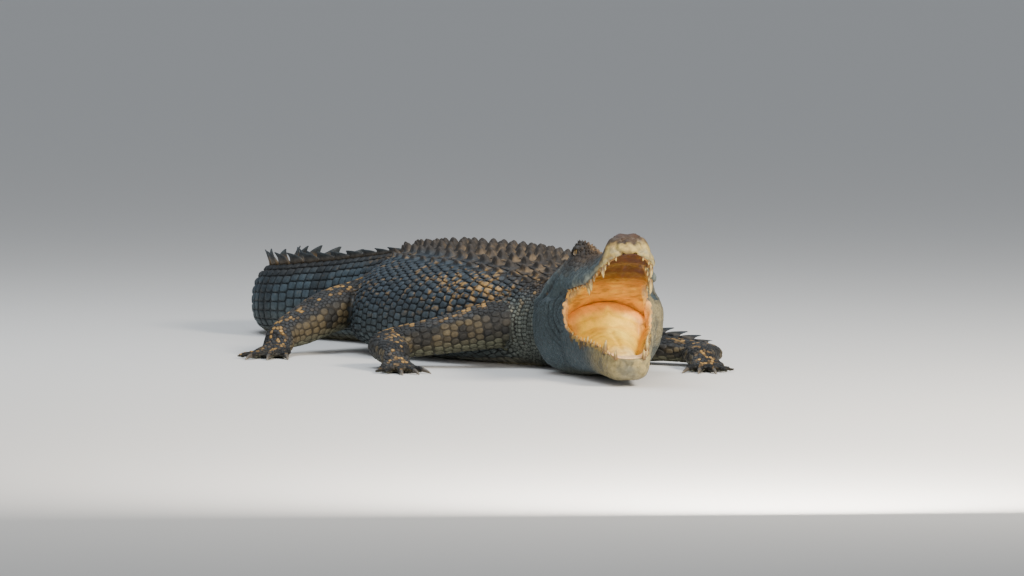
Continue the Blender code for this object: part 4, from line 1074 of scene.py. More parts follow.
class Coat:
    """Closed scales gathered into one piece."""

    def __init__(self, seeds):
        self.seeds, self.count = seeds, 0
        self.points, self.colours, self.spots, self.tris, self.quads, self.caps = [], [], [], [], [], []

    def grow(self, group, directions, rings, height_of, groove, sharpness, edges, variety, shade=None,
             per_vertex=False, patch=PATCH):
        """Adds scales with height_of(a, b, share, group) over the skin; a and b run from -1 to 1, share from 0 to 1.

        Their edges are darker and their tones vary by these shares; the darker edges are partly dark grooves and
        partly painted shade in the grooves. Their colours come from each vertex's place or from the root's.
        """
        if not len(group.place):
            return
        turn, reach = self.seeds.outline(group, directions, sharpness, groove)
        shares = np.array([0.0, *rings, 1.0])
        share = shares[None, :, None]
        rho = share * reach[:, None, :]
        a, b = rho * np.cos(turn), rho * np.sin(turn)
        whole = {key: value[:, None, None] for key, value in vars(group).items() if key != "surface"}
        flat = whole["place"] + whole["along"] * a[..., None] + whole["across"] * b[..., None]
        flat = flat + whole["outward"] * 0.002
        on_skin, _ = nearest(self.seeds.tree, flat)
        off = np.linalg.norm(on_skin - flat, axis=-1).max(axis=(1, 2))
        long_share = a / np.maximum(whole["long"], 1e-5)
        wide_share = b / np.maximum(whole["wide"], 1e-5)
        rise = np.broadcast_to(height_of(long_share, wide_share, share, group), a.shape).copy()
        rise[:, -1] = -0.0016
        points = on_skin + whole["outward"] * rise[..., None]
        points[..., 2] = np.maximum(points[..., 2], 0.0)

        surface, tone = group.surface, 1 + variety * RANDOM.uniform(-1, 1, len(a))
        if per_vertex:
            u = whole["u"] + a / whole["per_u"]
            q = whole["q"] + surface.hand * b / whole["per_q"]
            colour = markings(np.full(u.size, surface.region), u.ravel(), q.ravel(), on_skin.reshape(-1, 3))
            colour = colour.reshape(*u.shape, 3)
        else:
            colour = markings(np.full(len(a), surface.region), group.u, group.q, group.place)
            colour = np.broadcast_to(colour[:, None, None], (*a.shape, 3))
        # darker rims and a darkest skirt: partly dark grooves, partly painted shade where the scales meet
        edge = 1 - edges * step(shares, 0.80, 1.0)
        edge[-1] = 1 - 1.5 * edges
        colour = colour * tone[:, None, None, None] * edge[None, :, None, None]
        if shade:
            colour = shade(colour, long_share, wide_share)
        spot = surface.on_map(whole["u"], whole["q"]) + 0.5 * patch * share[..., None] * np.stack(
            [np.cos(turn), np.sin(turn)], axis=-1)
        keep = off < 0.35 * group.radius + 0.010
        n, k, r = keep.sum(), len(turn), len(shares) - 1

        def packed(values):
            """The vertices of the scales that stay: one in the middle of each, then its rings."""
            values = np.broadcast_to(values, (*a.shape, values.shape[-1]))[keep]
            middle, rest = values[:, 0, :1], values[:, 1:].reshape(n, r * k, -1)
            return np.concatenate([middle, rest], axis=1).reshape(n * (r * k + 1), -1)

        self.points.append(packed(points))
        self.colours.append(packed(np.clip(colour, DARKEST, PALEST)))
        self.spots.append(packed(spot))
        first = self.count + (r * k + 1) * np.arange(n)[:, None]
        here = np.arange(k)
        following = (here + 1) % k
        fan = np.stack([np.zeros(k, int), 1 + here, 1 + following], axis=-1)
        self.tris.append((first[..., None] + fan[None]).reshape(-1, 3))
        for inner in range(1, 1 + (r - 1) * k, k):
            quad = np.stack([here, k + here, k + following, following], axis=-1) + inner
            self.quads.append((first[..., None] + quad[None]).reshape(-1, 4))
        self.caps.append(first + (1 + (r - 1) * k + here)[::-1])
        self.count += n * (r * k + 1)

    def piece(self, name, material, slot):
        points = np.concatenate(self.points)
        faces = [np.concatenate(rows) for rows in (self.tris, self.quads) if rows] + self.caps
        totals = np.concatenate([np.full(len(rows), rows.shape[1]) for rows in faces])
        corners = np.concatenate([rows.ravel() for rows in faces])
        data = bpy.data.meshes.new(name)
        data.vertices.add(len(points))
        data.vertices.foreach_set("co", points.ravel())
        data.loops.add(len(corners))
        data.loops.foreach_set("vertex_index", corners)
        data.polygons.add(len(totals))
        data.polygons.foreach_set("loop_start", running(totals)[:-1])
        data.polygons.foreach_set("loop_total", totals)
        data.update(calc_edges=True)
        dressed(new_object(name, data), np.concatenate(self.colours), material, slot, np.concatenate(self.spots))


# ---- Materials -----------------------------------------------------------------------------------


class Finish:
    """A node material in the making."""

    def __init__(self, name):
        self.material = bpy.data.materials.new(name)
        self.material.use_nodes = True
        self.tree = self.material.node_tree
        self.shader = self.tree.nodes["Principled BSDF"]
        self.place = self.node("TexCoord").outputs["Object"]

    def node(self, kind, links=(), values=(), **settings):
        """A new node, with links and numbers for its sockets."""
        made = self.tree.nodes.new("ShaderNode" + kind)
        for name, value in settings.items():
            setattr(made, name, value)
        for socket, source in dict(links).items():
            self.tree.links.new(source, made.inputs[socket])
        for socket, value in dict(values).items():
            made.inputs[socket].default_value = value
        return made

    def noise(self, scale, detail, stretch=None):
        place = self.place
        if stretch:
            place = self.node("Mapping", {"Vector": place}, {"Scale": stretch}).outputs["Vector"]
        return self.node("TexNoise", {"Vector": place}, {"Scale": scale, "Detail": detail}).outputs["Fac"]

    def ranged(self, value, low, high):
        return self.node("MapRange", {"Value": value}, {"From Min": 0.3, "From Max": 0.7, "To Min": low,
                                                        "To Max": high}).outputs["Result"]


def finish(name, tones, roughness, strength, depth, sockets, grain=None):
    """A material: the tint times each tone of (noise, low, high), a rough noise, and a bump of the last noise.

    Where a grain is given, the bump has a noise of that scale instead.
    """
    made = Finish(name)
    colour = made.node("Attribute", attribute_name="tint").outputs["Color"]
    for pattern, low, high in tones:
        noise = made.noise(*pattern)
        factor = made.ranged(noise, low, high)
        colour = made.node("VectorMath", {0: colour, "Scale": factor}, operation="SCALE").outputs["Vector"]
    if grain:
        noise = made.noise(grain, 3.0)
    pattern, low, high = roughness
    relief = made.node("Bump", {"Height": noise}, {"Strength": strength, "Distance": depth}).outputs["Normal"]
    for socket, source in (("Base Color", colour), ("Normal", relief),
                           ("Roughness", made.ranged(made.noise(*pattern), low, high))):
        made.tree.links.new(source, made.shader.inputs[socket])
    for socket, value in sockets.items():
        made.shader.inputs[socket].default_value = value
    return made.material


def hide_finish(name, low, high, strength):
    return finish(name, [((95.0, 5.0), 0.72, 1.28), ((420.0, 3.0), 0.86, 1.12)], ((160.0, 4.0), low, high),
                  strength, 0.0007, {"Specular IOR Level": 0.30})


def flesh_finish():
    return finish("mouth_flesh", [((55.0, 5.0, (0.35, 1.0, 1.0)), 0.80, 1.16), ((300.0, 4.0), 0.92, 1.08)],
                  ((120.0, 3.0), 0.34, 0.60), 0.45, 0.0010, {"Specular IOR Level": 0.28})


def smooth_finish(name, low, high, grain, strength, coat=0.0):
    return finish(name, [((grain, 4.0), 0.86, 1.10)], ((grain * 0.7, 3.0), low, high), strength, 0.0003,
                  {"Coat Weight": coat, "Coat Roughness": 0.04}, grain * 2.0)


# ---- Scales of each part of the body -------------------------------------------------------------

KEELS = [(0.0300, 0.0285, 1.0), (0.0880, 0.0285, 1.0), (0.1460, 0.0285, 0.95), (0.1960, 0.0200, 0.55)]
# The plates of the nape: station, way from the midline, half length, half width.
NAPE = [
    (-0.690, 0.026, 0.023, 0.023), (-0.638, 0.030, 0.025, 0.026), (-0.662, 0.080, 0.021, 0.021),
    (-0.585, 0.024, 0.018, 0.018), (-0.765, 0.018, 0.013, 0.014), (-0.760, 0.052, 0.013, 0.014)]
KEEL_TOP_PALE = np.array((0.030, 0.021, 0.012))


def keel_scale(s):
    return max(half_width(s) / half_width(0), NARROWEST_KEELS)


def crest_foot(s):
    """How far each row of the crest stands from the midline."""
    return min(crest_spread(s), 0.55 * half_width(s))


def whorls():
    """(station, length) of each whorl round the tail."""
    for front, back, count in TAIL_LENGTHS:
        pitch = (back - front) / count
        for whorl in range(count):
            yield front + (whorl + 0.5) * pitch, pitch


def plant(seeds):
    """Every group of scales, the largest first, since a later one gives way."""
    groups, rows = {}, []
    pitch = (TRUNK_BACK - TRUNK_FRONT) / TRUNK_ROWS
    for row in range(TRUNK_ROWS):
        s = TRUNK_FRONT + (row + 0.5) * pitch
        scale, fade = keel_scale(s), min(1.0, 0.5 + row / 8)
        for (across, half, share), side in itertools.product(KEELS, (-1, 1)):
            rows.append((s + 0.002 * RANDOM.uniform(-1, 1), side * across * scale / girth(s), half * scale,
                         (KEEL_HEIGHT + COAT) * fade * share * RANDOM.uniform(0.90, 1.05)))
    u, q, wide, tall = np.array(rows).T
    groups["dorsal"] = seeds.add(BODY, u, q, pitch / 2, wide, 0)
    groups["dorsal"].tall = tall[:len(groups["dorsal"].u)]

    rows = [(s, side * arc / girth(s), long, wide) for s, arc, long, wide in NAPE for side in (-1, 1)]
    groups["nape"] = seeds.add(BODY, *np.array(rows).T)

    rows = []
    for s, length in whorls():
        half_girth, spread = girth(s), crest_foot(s)
        beside = spread + 0.005
        count = max(1, int(round((half_girth - beside) / 0.0255)))
        room = (half_girth - beside) / count
        rows += [(s + half * length, side * (beside + (row + 0.5) * room) / half_girth, length / 4, room / 2)
                 for row, side, half in itertools.product(range(count), (-1, 1), (-0.25, 0.25))]
        if spread > 0.014:
            rows += [(s, side * (spread - 0.004) / 2 / half_girth, length / 2, (spread - 0.004) / 2)
                     for side in (-1, 1)]
    groups["tail"] = seeds.add(BODY, *np.array(rows).T, 0)

    def scatter(name, surface, places, half_long, low, high, pitch, jitter, limits=(), stagger=0.25):
        u, q, half_wide = columns(surface, places, low, high, pitch, jitter, stagger)
        groups[name] = seeds.add(surface, u, q, half_long, half_wide, *limits)

    places = np.arange(TRUNK_FRONT + 0.085, TRUNK_BACK + 0.004, 0.0312)
    scatter("flank", BODY, places, 0.0156, lambda s: 0.218 * keel_scale(s) / girth(s), 0.70,
            lambda s: 0.0135 + 0.0060 * step(s, -0.46, -0.30), 0.10)
    scatter("belly", BODY, places, 0.0156, 0.72, 0.995, 0.036, 0.02, stagger=0.0)
    size = 0.0122
    scatter("neck", BODY, np.arange(NECK_FRONT, TRUNK_FRONT + 0.075, size), size / 2, 0.004, 0.99, size * 0.9, 0.08,
            (0.72,))
    for number, (surface, tube, name) in enumerate(LIMBS):
        kinds = [(0.0105, 0.0, 0.01, 0.99)]
        if surface.region == LIMB:
            size = 0.0235 if name.startswith("hind") else 0.0215
            kinds = [(size, 0.10, 0.30, 0.99), (0.0130, 0.10, 0.012, 0.285)]
        for kind, (size, start, low, high) in enumerate(kinds):
            places = np.arange(start * tube.length, tube.length, size)
            scatter(f"limb_{number}_{kind}", surface, places, size / 2, low, high, size * 0.92, 0.14, (0.74,))
    # name, surface, from, to, between columns, half length, low, high, between scales, jitter, limits
    for name, jaw, start, end, apart, half, low, high, pitch, jitter, limits in (
            ("brow", UPPER_JAW, 0.136, 0.226, 0.0092, 0.0047, 0.03, 0.225, 0.0098, 0.22, (0.74, -0.006, 0.010)),
            ("upper", UPPER_JAW, -0.026, 0.440, 0.0150, 0.0075, 0.012, 0.53, 0.0150, 0.26, (0.74, -0.005, 0.009)),
            ("jowl", LOWER_JAW, -0.120, 0.200, 0.0084, 0.0042, lambda x: 0.40 + 0.08 * step(x, 0.10, 0.18), 0.80,
             0.0084, 0.24, (0.72, -0.011, 0.009)),
            ("jaw", LOWER_JAW, -0.126, 0.540, 0.0138, 0.0069, 0.50, 0.995, 0.0138, 0.24, (0.74, -0.005, 0.009))):
        scatter(name, jaw, np.arange(start, end, apart), half, low, high, pitch, jitter, limits)
    seeds.gather()
    return groups


def dome(tall, edge, power=2.6):
    return lambda a, b, share, group: tall * (1 - (1 - edge) * share ** power)


def spike(tall):
    """A low rough cone, as on the brow."""
    return lambda a, b, share, group: tall * (1 - share ** 0.9) + 0.0008


KEELED_PLATE = 0.0044  # height of a keeled scale without its keel


def keeled(tall):
    """A low plate with a blunt, rounded blade that stands towards its rear."""

    def height_of(a, b, share, group):
        along = np.clip(1 - ((a - 0.12) / np.where(a > 0.12, 0.46, 0.64)) ** 2, 0, 1) ** 0.55
        across = np.clip(1 - (b / 0.42) ** 2, 0, 1) ** 0.70
        rise = np.broadcast_to(getattr(group, "tall", tall), len(a))[:, None, None]
        return KEELED_PLATE * (1 - 0.45 * share ** 4) + rise * along * across

    return height_of


def tail_tile(a, b, share, group):
    """A tile, lower at the edges of its whorl, with a low ridge on the tail's upper side."""
    upper = 1 - step(np.abs(group.q), 0.30, 0.55)
    ridge = np.clip(1 - (b / 0.5) ** 2, 0, 1) * np.clip(a + 0.9, 0, 1) * (1 - step(a, 0.6, 0.98))
    plate = 0.0042 * (1 - 0.45 * share ** 5) * (1 - 0.30 * step(np.abs(a), 0.55, 1.0))
    return plate + 0.0016 * upper[:, None, None] * ridge * (1 - share ** 6)


def ridge_shade(colour, a, b):
    """Keels dark and a little paler along their tops, with tan hide round their feet."""
    blade = np.clip(1 - ((a - 0.12) / 0.62) ** 2, 0, 1) * np.clip(1 - (b / 0.46) ** 2, 0, 1)
    # paler along the top of each keel
    keel_top = blade ** 3 * np.clip(1 - np.abs(b) / 0.16, 0, 1)
    return mix(colour, BACK, step(blade, 0.10, 0.40) * 0.92) + KEEL_TOP_PALE * (keel_top * 0.4)[..., None]


def make_coat(seeds, groups, hide):
    shaded = {"shade": ridge_shade, "per_vertex": True}
    legs = []
    for name, group in groups.items():
        if name.startswith("limb"):
            tall, sides = (0.0016, 12) if group.surface.region == LIMB else (0.0014, 9)
            legs.append((name, sides, (0.55, 0.90), dome(tall, 0.75, 8.0), 0.0003, 12.0, 0.30, 0.16, {}))
    # piece, slot, then each group's sides, rings, height, groove, sharpness, dark edges, variety and the rest
    for name, slot, rows in (
            ("scales_back", "hide_back", [
                ("dorsal", 28, (0.14, 0.28, 0.42, 0.56, 0.70, 0.84, 0.96), keeled(KEEL_HEIGHT), 0.0008, 10.0, 0.30,
                 0.16, {**shaded, "patch": 3 * PATCH}),
                ("nape", 22, (0.2, 0.4, 0.6, 0.8, 0.95), keeled(0.0090), 0.0010, 7.0, 0.30, 0.16,
                 {**shaded, "patch": 2 * PATCH})]),
            ("scales_flank", "hide_flank", [
                ("flank", 16, (0.45, 0.75, 0.92), dome(0.0046, 0.45, 4.0), 0.0008, 8.0, 0.50, 0.24,
                 {"per_vertex": True}),
                ("belly", 12, (0.6, 0.92), dome(0.0040, 0.5), 0.0008, 11.0, 0.42, 0.16, {})]),
            ("scales_tail", "hide_tail", [
                ("tail", 20, (0.40, 0.70, 0.92), tail_tile, 0.0006, 12.0, 0.45, 0.14, {"per_vertex": True})]),
            ("scales_neck", "hide_back", [
                ("neck", 9, (0.55, 0.90), dome(0.0020, 0.45, 4.0), 0.0003, 8.0, 0.42, 0.18, {})]),
            ("scales_legs", "hide_leg", legs),
            ("scales_head", "hide_throat", [
                ("brow", 8, (0.35, 0.75), spike(0.0062), 0.0003, 8.0, 0.42, 0.40, {}),
                ("upper", 10, (0.6, 0.92), dome(0.0009, 0.5), 0.0002, 9.0, 0.14, 0.08, {}),
                ("jaw", 10, (0.6, 0.92), dome(0.0006, 0.5), 0.0002, 9.0, 0.16, 0.11, {})]),
            ("scales_jowl", "hide_throat", [
                ("jowl", 8, (0.85,), dome(0.0007, 0.6), 0.0002, 9.0, 0.18, 0.12, {"per_vertex": True})])):
        coat = Coat(seeds)
        for group, *numbers, others in rows:
            coat.grow(groups[group], *numbers, **others)
        coat.piece(name, hide, slot)


# ---- The tail's crest ----------------------------------------------------------------------------

CREST_DARK, CREST_TAN = np.array((0.026, 0.032, 0.036)), np.array((0.24, 0.145, 0.050))
CREST_CLOSES = 1.62  # the station where its two rows become one
BLADE_TIP = 0.007  # length of a blade's blunt tip


def crest_blades(hide):
    """Upright blades along the tail, in two rows that close up into one."""
    levels, sides = 9, 12
    points, colours, spots, faces = [], [], [], []
    for s, pitch in whorls():
        tall = crest_height(s) * RANDOM.uniform(0.93, 1.0) * (1 - 0.07 * step(s, 1.8, 2.0))
        thick = min(0.0052, 0.34 * half_width(s))
        for side in (-1, 1) if s < CREST_CLOSES else (0,):
            q = side * max(crest_foot(s), 0.004) / girth(s)
            base, outward, along, across, *_ = BODY.axes(s, q)
            root = BODY.on_map(s, q)
            faces += loft_faces(levels, sides, len(points))
            for level, turn in itertools.product(range(levels), [2 * math.pi * k / sides for k in range(sides)]):
                v = level / (levels - 1)
                rear = pitch * (0.46 - 0.10 * math.sin(math.pi * v) + 0.03 * v)
                front = pitch * (-0.58 + 0.94 * v ** 2.1) if v < 1 else rear - BLADE_TIP
                width = thick * (1 - 0.72 * v) * (1 if level else 1.5)
                a = (front + rear) / 2 + (rear - front) / 2 * math.cos(turn)
                lateral = width * math.sin(turn) * (1 - 0.25 * math.cos(turn))
                points.append(base + along * a + across * lateral + outward * (v * tall if level else -0.006))
                tone = 0.80 + 0.25 * math.sin(9 * v + 2 * a / pitch)
                pale = eased(1 - v * 1.6) * (0.15 + 0.75 * bump(s - 1.42, 0.20))
                colours.append(CREST_DARK * tone * (1 - pale) + CREST_TAN * pale)
                spots.append(root + 2 * PATCH * np.array([math.cos(turn), math.sin(turn)]) * (0.3 + 0.7 * v))
    points = np.array(points)
    points[:, 2] = np.maximum(points[:, 2], SOLE)
    data = facing_out(make_mesh("tail_crest", points, faces))
    dressed(new_object("tail_crest", data), np.array(colours), hide, "hide_tail", np.array(spots))


# ---- Inside the mouth ----------------------------------------------------------------------------

ROOF_GOLD, ROOF_BROWN, ROOF_FRONT_SHADOW = (0.70, 0.35, 0.040), (0.50, 0.18, 0.024), (0.062, 0.017, 0.005)
ROOF_STREAK, ROOF_GLEAM = (0.18, 0.062, 0.014), (0.80, 0.47, 0.070)
VELUM_RED, ROOF_EDGE = (0.78, 0.38, 0.070), (0.42, 0.22, 0.07)
FLOOR_GOLD, FLOOR_PALE, FLOOR_HIGHLIGHT = (0.88, 0.53, 0.032), (0.90, 0.64, 0.22), (1.0, 0.76, 0.10)
FLOOR_MOTTLE, FLOOR_EDGE, KNOB_DARK = (0.66, 0.36, 0.040), (0.56, 0.24, 0.040), (0.15, 0.070, 0.022)
THROAT_RED_AND_SHADE, THROAT_GAP_SHADE, FLOOR_FRONT = (0.74, 0.30, 0.045), (0.36, 0.13, 0.03), (0.70, 0.46, 0.30)

# the palate with its waves eased, so that the whole of it shows from in front
roof_line = through([
    (0.112, 0.008), (0.21, 0.0), (0.29, 0.009), (0.41, -0.003), (0.495, 0.010), (0.54, 0.002), (0.585, 0.010),
    (0.60, 0.018)])
tongue_rise = through([
    (0.10, 0.004), (0.16, 0.026), (0.25, 0.036), (0.34, 0.033), (0.42, 0.026), (0.475, 0.014), (0.505, 0.0),
    (0.585, 0.0)])


def slab(name, matrix, xs, surface, depth, paint, flesh):
    """A closed slab whose face is surface(x, share) in a jaw's frame; share runs from -1 to 1 across."""
    margin = np.linspace(-1, -0.74, 14)[:-1]
    x, share = np.meshgrid(xs, np.concatenate([margin, np.linspace(-0.74, 0.74, 46), -margin[::-1]]), indexing="ij")
    y, z = surface(x, share)
    face = placed(matrix, np.stack([x, y, z], axis=-1))
    back = placed(matrix, np.stack([x, y * 0.985, z + depth], axis=-1))
    index = np.arange(x.size).reshape(x.shape)
    quads = np.stack([index[:-1, :-1], index[:-1, 1:], index[1:, 1:], index[1:, :-1]], axis=-1).reshape(-1, 4)
    both = np.stack([quads, quads[:, ::-1] + x.size], axis=1).reshape(-1, 4)
    border = np.concatenate([index[0], index[1:, -1], index[-1, -2::-1], index[-2:0:-1, 0]])
    after = np.roll(border, -1)
    sides = np.stack([border, border + x.size, after + x.size, after], axis=-1)
    points = np.concatenate([face.reshape(-1, 3), back.reshape(-1, 3)])
    data = facing_out(make_mesh(name, points, np.concatenate([both, sides]).tolist()))
    colour = paint(x, share, face).reshape(-1, 3)
    return dressed(new_object(name, data), np.concatenate([colour, colour * 0.8]), flesh, "flesh")


def roof_face(x, share):
    w, lip, palate = head_width(x), head_lip(x), roof_line(x)
    y = share * (w - 0.0125)
    inward = step(w - np.abs(y), 0.0135, 0.026)
    z = (lip + 0.002) * (1 - inward) + palate * inward + 0.0055 * (1 - (np.abs(y) / w) ** 2)
    place = np.stack([x, y, 0 * x], axis=-1)
    z = z + 0.0016 * rough(place, 0.016, 51, 2) + 0.0012 * np.sin(x / 0.0075 + 5 * (y / w) ** 2) * step(x, 0.30, 0.42)
    z = z - 0.0012 * bump(y / w, 0.08) * step(x, 0.16, 0.24) * (1 - step(x, 0.50, 0.56))
    drop = 0.0108 - 0.0382 * (np.abs(y) / 0.104) ** 2
    velum = 1 - step(x, 0.122, 0.205)
    z = z * (1 - velum) + np.minimum(z, drop) * velum
    return y, z - 0.0030


def roof_paint(x, share, place):
    front = step(x + 0.030 * rough(place, 0.06, 63), 0.27, 0.46)
    streak = rough(place * np.array([0.5, 0.5, 1.0]), 0.011, 61) + 0.5 * rough(place, 0.05, 62)
    return layered(
        mix(ROOF_GOLD, ROOF_BROWN, step(x, 0.16, 0.34)),
        # painted shadow darkening the front of the palate
        (ROOF_FRONT_SHADOW, front),
        (ROOF_STREAK, step(streak, 0.05, 0.5) * 0.60 * (1 - 0.6 * front)),
        (ROOF_GLEAM, step(-streak, 0.10, 0.5) * 0.55 * (1 - front)),
        (VELUM_RED, (1 - step(x, 0.122, 0.165)) * 0.7),
        (ROOF_EDGE, step(np.abs(share), 0.86, 0.97) * 0.6))


def floor_face(x, share):
    w, lip, low = jaw_width(x), jaw_lip(x), mouth_floor(x)
    rim = np.minimum(GUM, 0.35 * w)
    inner = np.maximum(w - rim - 0.020, 0.35 * w)
    web = step(lip, 0.012, 0.034)
    lip = np.minimum(lip, 0.010)
    y = share * ((w - 0.55 * rim) * (1 - web) + (inner + 0.011) * web)
    climb = step(np.abs(y), inner, w - 0.8 * rim)
    z = low * (1 - climb) + np.maximum(lip - 0.0035, low + 0.003) * climb
    tongue_half = np.maximum(w - GUM - 0.012, 0.01) * 0.86
    inside = np.clip(np.abs(y) / tongue_half, 0, 1)
    z = z + tongue_rise(x) * (1 - inside ** 2.6) ** 0.8 * (1 - climb)
    z = z - 0.0035 * bump(y, 0.006) * step(x, 0.18, 0.26) * (1 - step(x, 0.42, 0.50))
    rim_high = 0.0600 - 0.0368 * np.clip(np.abs(y) / 0.104, 0, 1.2) ** 2
    rise = (1 - step(x, 0.122, 0.190)) ** 0.8
    z = z * (1 - rise) + np.maximum(rim_high, z) * rise
    z = z - 0.0040 * bump(x - 0.162 + 0.012 * bump(y - 0.004, 0.008), 0.005) * (1 - climb)
    place = np.stack([x, y, 0 * x], axis=-1)
    z = z + 0.0026 * np.maximum(rough(place, 0.008, 73, 2), 0) * step(np.abs(share), 0.80, 0.92) * (1 - web)
    z = z + 0.0014 * rough(place, 0.015, 71) + 0.0016 * np.sin(x / 0.0052 + 2.5 * np.sin(y / 0.02)) * climb * 0.7
    return y, z + 0.0024


def floor_paint(x, share, place):
    w = jaw_width(x)
    y = share * (w - 0.55 * np.minimum(GUM, 0.35 * w))
    knobby = step(rough(place, 0.009, 85, 2), -0.05, 0.35)
    return layered(
        mix(FLOOR_GOLD, FLOOR_PALE, step(x, 0.37, 0.46)),
        # painted highlight on the tongue
        (FLOOR_HIGHLIGHT, bump(y - 0.020, 0.040) * bump(x - 0.25, 0.08) * 0.95),
        (FLOOR_MOTTLE, step(rough(place, 0.026, 81), 0.05, 0.5) * 0.45),
        (FLOOR_EDGE, step(np.abs(y), 0.66 * (w - GUM), 0.92 * (w - GUM)) * 0.85),
        (KNOB_DARK, knobby * step(np.abs(share), 0.82, 0.93) * 0.80),
        # the throat's fold is red, and darker partly as painted shade on its front face
        (THROAT_RED_AND_SHADE, (1 - step(x + 0.012 * bump(y - 0.004, 0.009), 0.150, 0.163)) * 0.92),
        # painted shade: a thin dark line along the gap between the throat's fold and the palate's velum
        (THROAT_GAP_SHADE, bump(x - 0.124, 0.004) * 0.7),
        (FLOOR_FRONT, step(x, 0.50, 0.53) * 0.7))


def make_mouth(flesh):
    slab("mouth_roof", UPPER, np.linspace(0.112, 0.590, 150), roof_face, 0.004, roof_paint, flesh)
    floor = slab("mouth_floor", LOWER, np.linspace(0.118, 0.572, 150), floor_face, -0.004, floor_paint, flesh)
    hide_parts("tongue")


# ---- Teeth, claws and eyes -----------------------------------------------------------------------

TOOTH_ROOT, TOOTH_TIP, TARTAR = (0.19, 0.105, 0.028), (0.50, 0.36, 0.11), (0.10, 0.055, 0.022)
CLAW_ROOT, CLAW_TIP = (0.060, 0.050, 0.038), (0.16, 0.13, 0.09)
IRIS, IRIS_PALE, IRIS_RIM = (0.17, 0.105, 0.030), (0.30, 0.19, 0.055), (0.05, 0.038, 0.018)
PUPIL, EYE_BACK = (0.004, 0.004, 0.004), (0.05, 0.04, 0.03)
ROOTED = 0.006  # length of a tooth or claw that is hidden in the flesh


HORN_SIDES, HORN_LEVELS = 12, 9


def horn(base, way, bend, length, radius):
    """Rings of a pointed, slightly curved cone from its root to its tip."""
    side = unit(np.cross(way, bend))
    front = np.cross(side, way)
    turn, rings = circle(HORN_SIDES), []
    for level in range(HORN_LEVELS):
        t = level / (HORN_LEVELS - 1)
        centre = base + way * length * t + front * length * 0.16 * t * t
        size = radius * (1 - t) ** 0.62 * (1 + 0.10 * math.sin(math.pi * t)) if t < 1 else 0.0003
        rings.append(centre + size * (np.cos(turn)[:, None] * side + np.sin(turn)[:, None] * front))
    return np.array(rings)


def horns(name, rows, material, slot, paint):
    data = closed(rows, name)
    levels, sides = rows[0].shape[:2]
    share = np.tile(np.repeat(np.linspace(0, 1, levels), sides), len(rows))
    dressed(new_object(name, data), paint(share, coordinates(data)), material, slot)


def tooth_paint(share, place):
    return layered(mix(TOOTH_ROOT, TOOTH_TIP, step(share, 0.25, 0.75)),
                   (TARTAR, step(rough(place, 0.009, 91, 2), -0.1, 0.4) * 0.65))


def make_teeth(ivory):
    for name, matrix, teeth, width, lip, inset, direction in (
            ("teeth_upper", UPPER, UPPER_TEETH, head_width, head_lip, UPPER_INSET, -1),
            ("teeth_lower", LOWER, LOWER_TEETH, jaw_width, jaw_lip, LOWER_INSET, 1)):
        rows = []
        for (x, length), side in itertools.product(teeth, (-1, 1)):
            lean = math.radians(8 * side)
            way = turned(matrix, (0.06 * direction, math.sin(lean), direction * math.cos(lean)))
            base = placed(matrix, (x, side * (width(x) - inset), lip(x) - direction * ROOTED))
            out = length * (0.50 + 0.46 * step(length, 0.019, 0.026))
            rows.append(horn(base, unit(way), turned(matrix, (0, -side, 0)), out + ROOTED, 0.20 * out + 0.0019))
        horns(name, rows, ivory, "tooth", tooth_paint)


def make_claws(claw):
    rows = []
    for tip, ahead, radius in CLAWS:
        base = tip - ahead * 0.007 + np.array([0, 0, radius * 0.10])
        way = unit(ahead + np.array([0, 0, -0.12]))
        rows.append(horn(base, way, np.array([0, 0, -1.0]), CLAW_LENGTH + ROOTED, radius * 0.50))
        rows[-1][..., 2] = np.maximum(rows[-1][..., 2], 0.0004)
    horns("claws", rows, claw, "claw", lambda share, place: mix(CLAW_ROOT, CLAW_TIP, step(share, 0.5, 1.0)))


def make_eyes(glaze):
    """Balls with a swollen clear front, a spoked iris and an upright slit of a pupil."""
    radius, slit_half, slit_tall = EYE_RADIUS - 0.0006, 0.065, 0.52
    for side, name in ((-1, "eye_right"), (1, "eye_left")):
        forward, outward, up = eye_frame(side)
        mesh = bmesh.new()
        bmesh.ops.create_uvsphere(mesh, u_segments=64, v_segments=40, radius=radius)
        local = np.array([vertex.co[:] for vertex in mesh.verts]) / radius
        x, y, z = local.T
        swell = 1 + 0.035 * bump(np.hypot(x, y), 0.55) * (z > 0)
        world = (local * swell[:, None] * (radius - 0.0006)) @ np.stack([forward, up, outward]) + eye_centre(side)
        for vertex, point in zip(mesh.verts, world):
            vertex.co = point
        bmesh.ops.recalc_face_normals(mesh, faces=mesh.faces)
        data = bpy.data.meshes.new(name + "_ball")
        mesh.to_mesh(data)
        mesh.free()
        from_slit = np.abs(x) / (slit_half * np.sqrt(np.clip(1 - (y / slit_tall) ** 2, 0.0001, 1)))
        colour = layered(
            mix(IRIS, IRIS_PALE, step(np.sin(np.arctan2(y, x) * 26), -0.5, 0.8) * 0.5),
            (IRIS_RIM, step(np.hypot(x, y), 0.34, 0.56)),
            (PUPIL, (1 - step(from_slit, 0.8, 1.25)) * (np.abs(y) < slit_tall)))
        colour[z < 0] = EYE_BACK
        obj = dressed(new_object(name + "_ball", data), colour, glaze, "eye")
        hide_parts(name)


# ---- The whole -----------------------------------------------------------------------------------


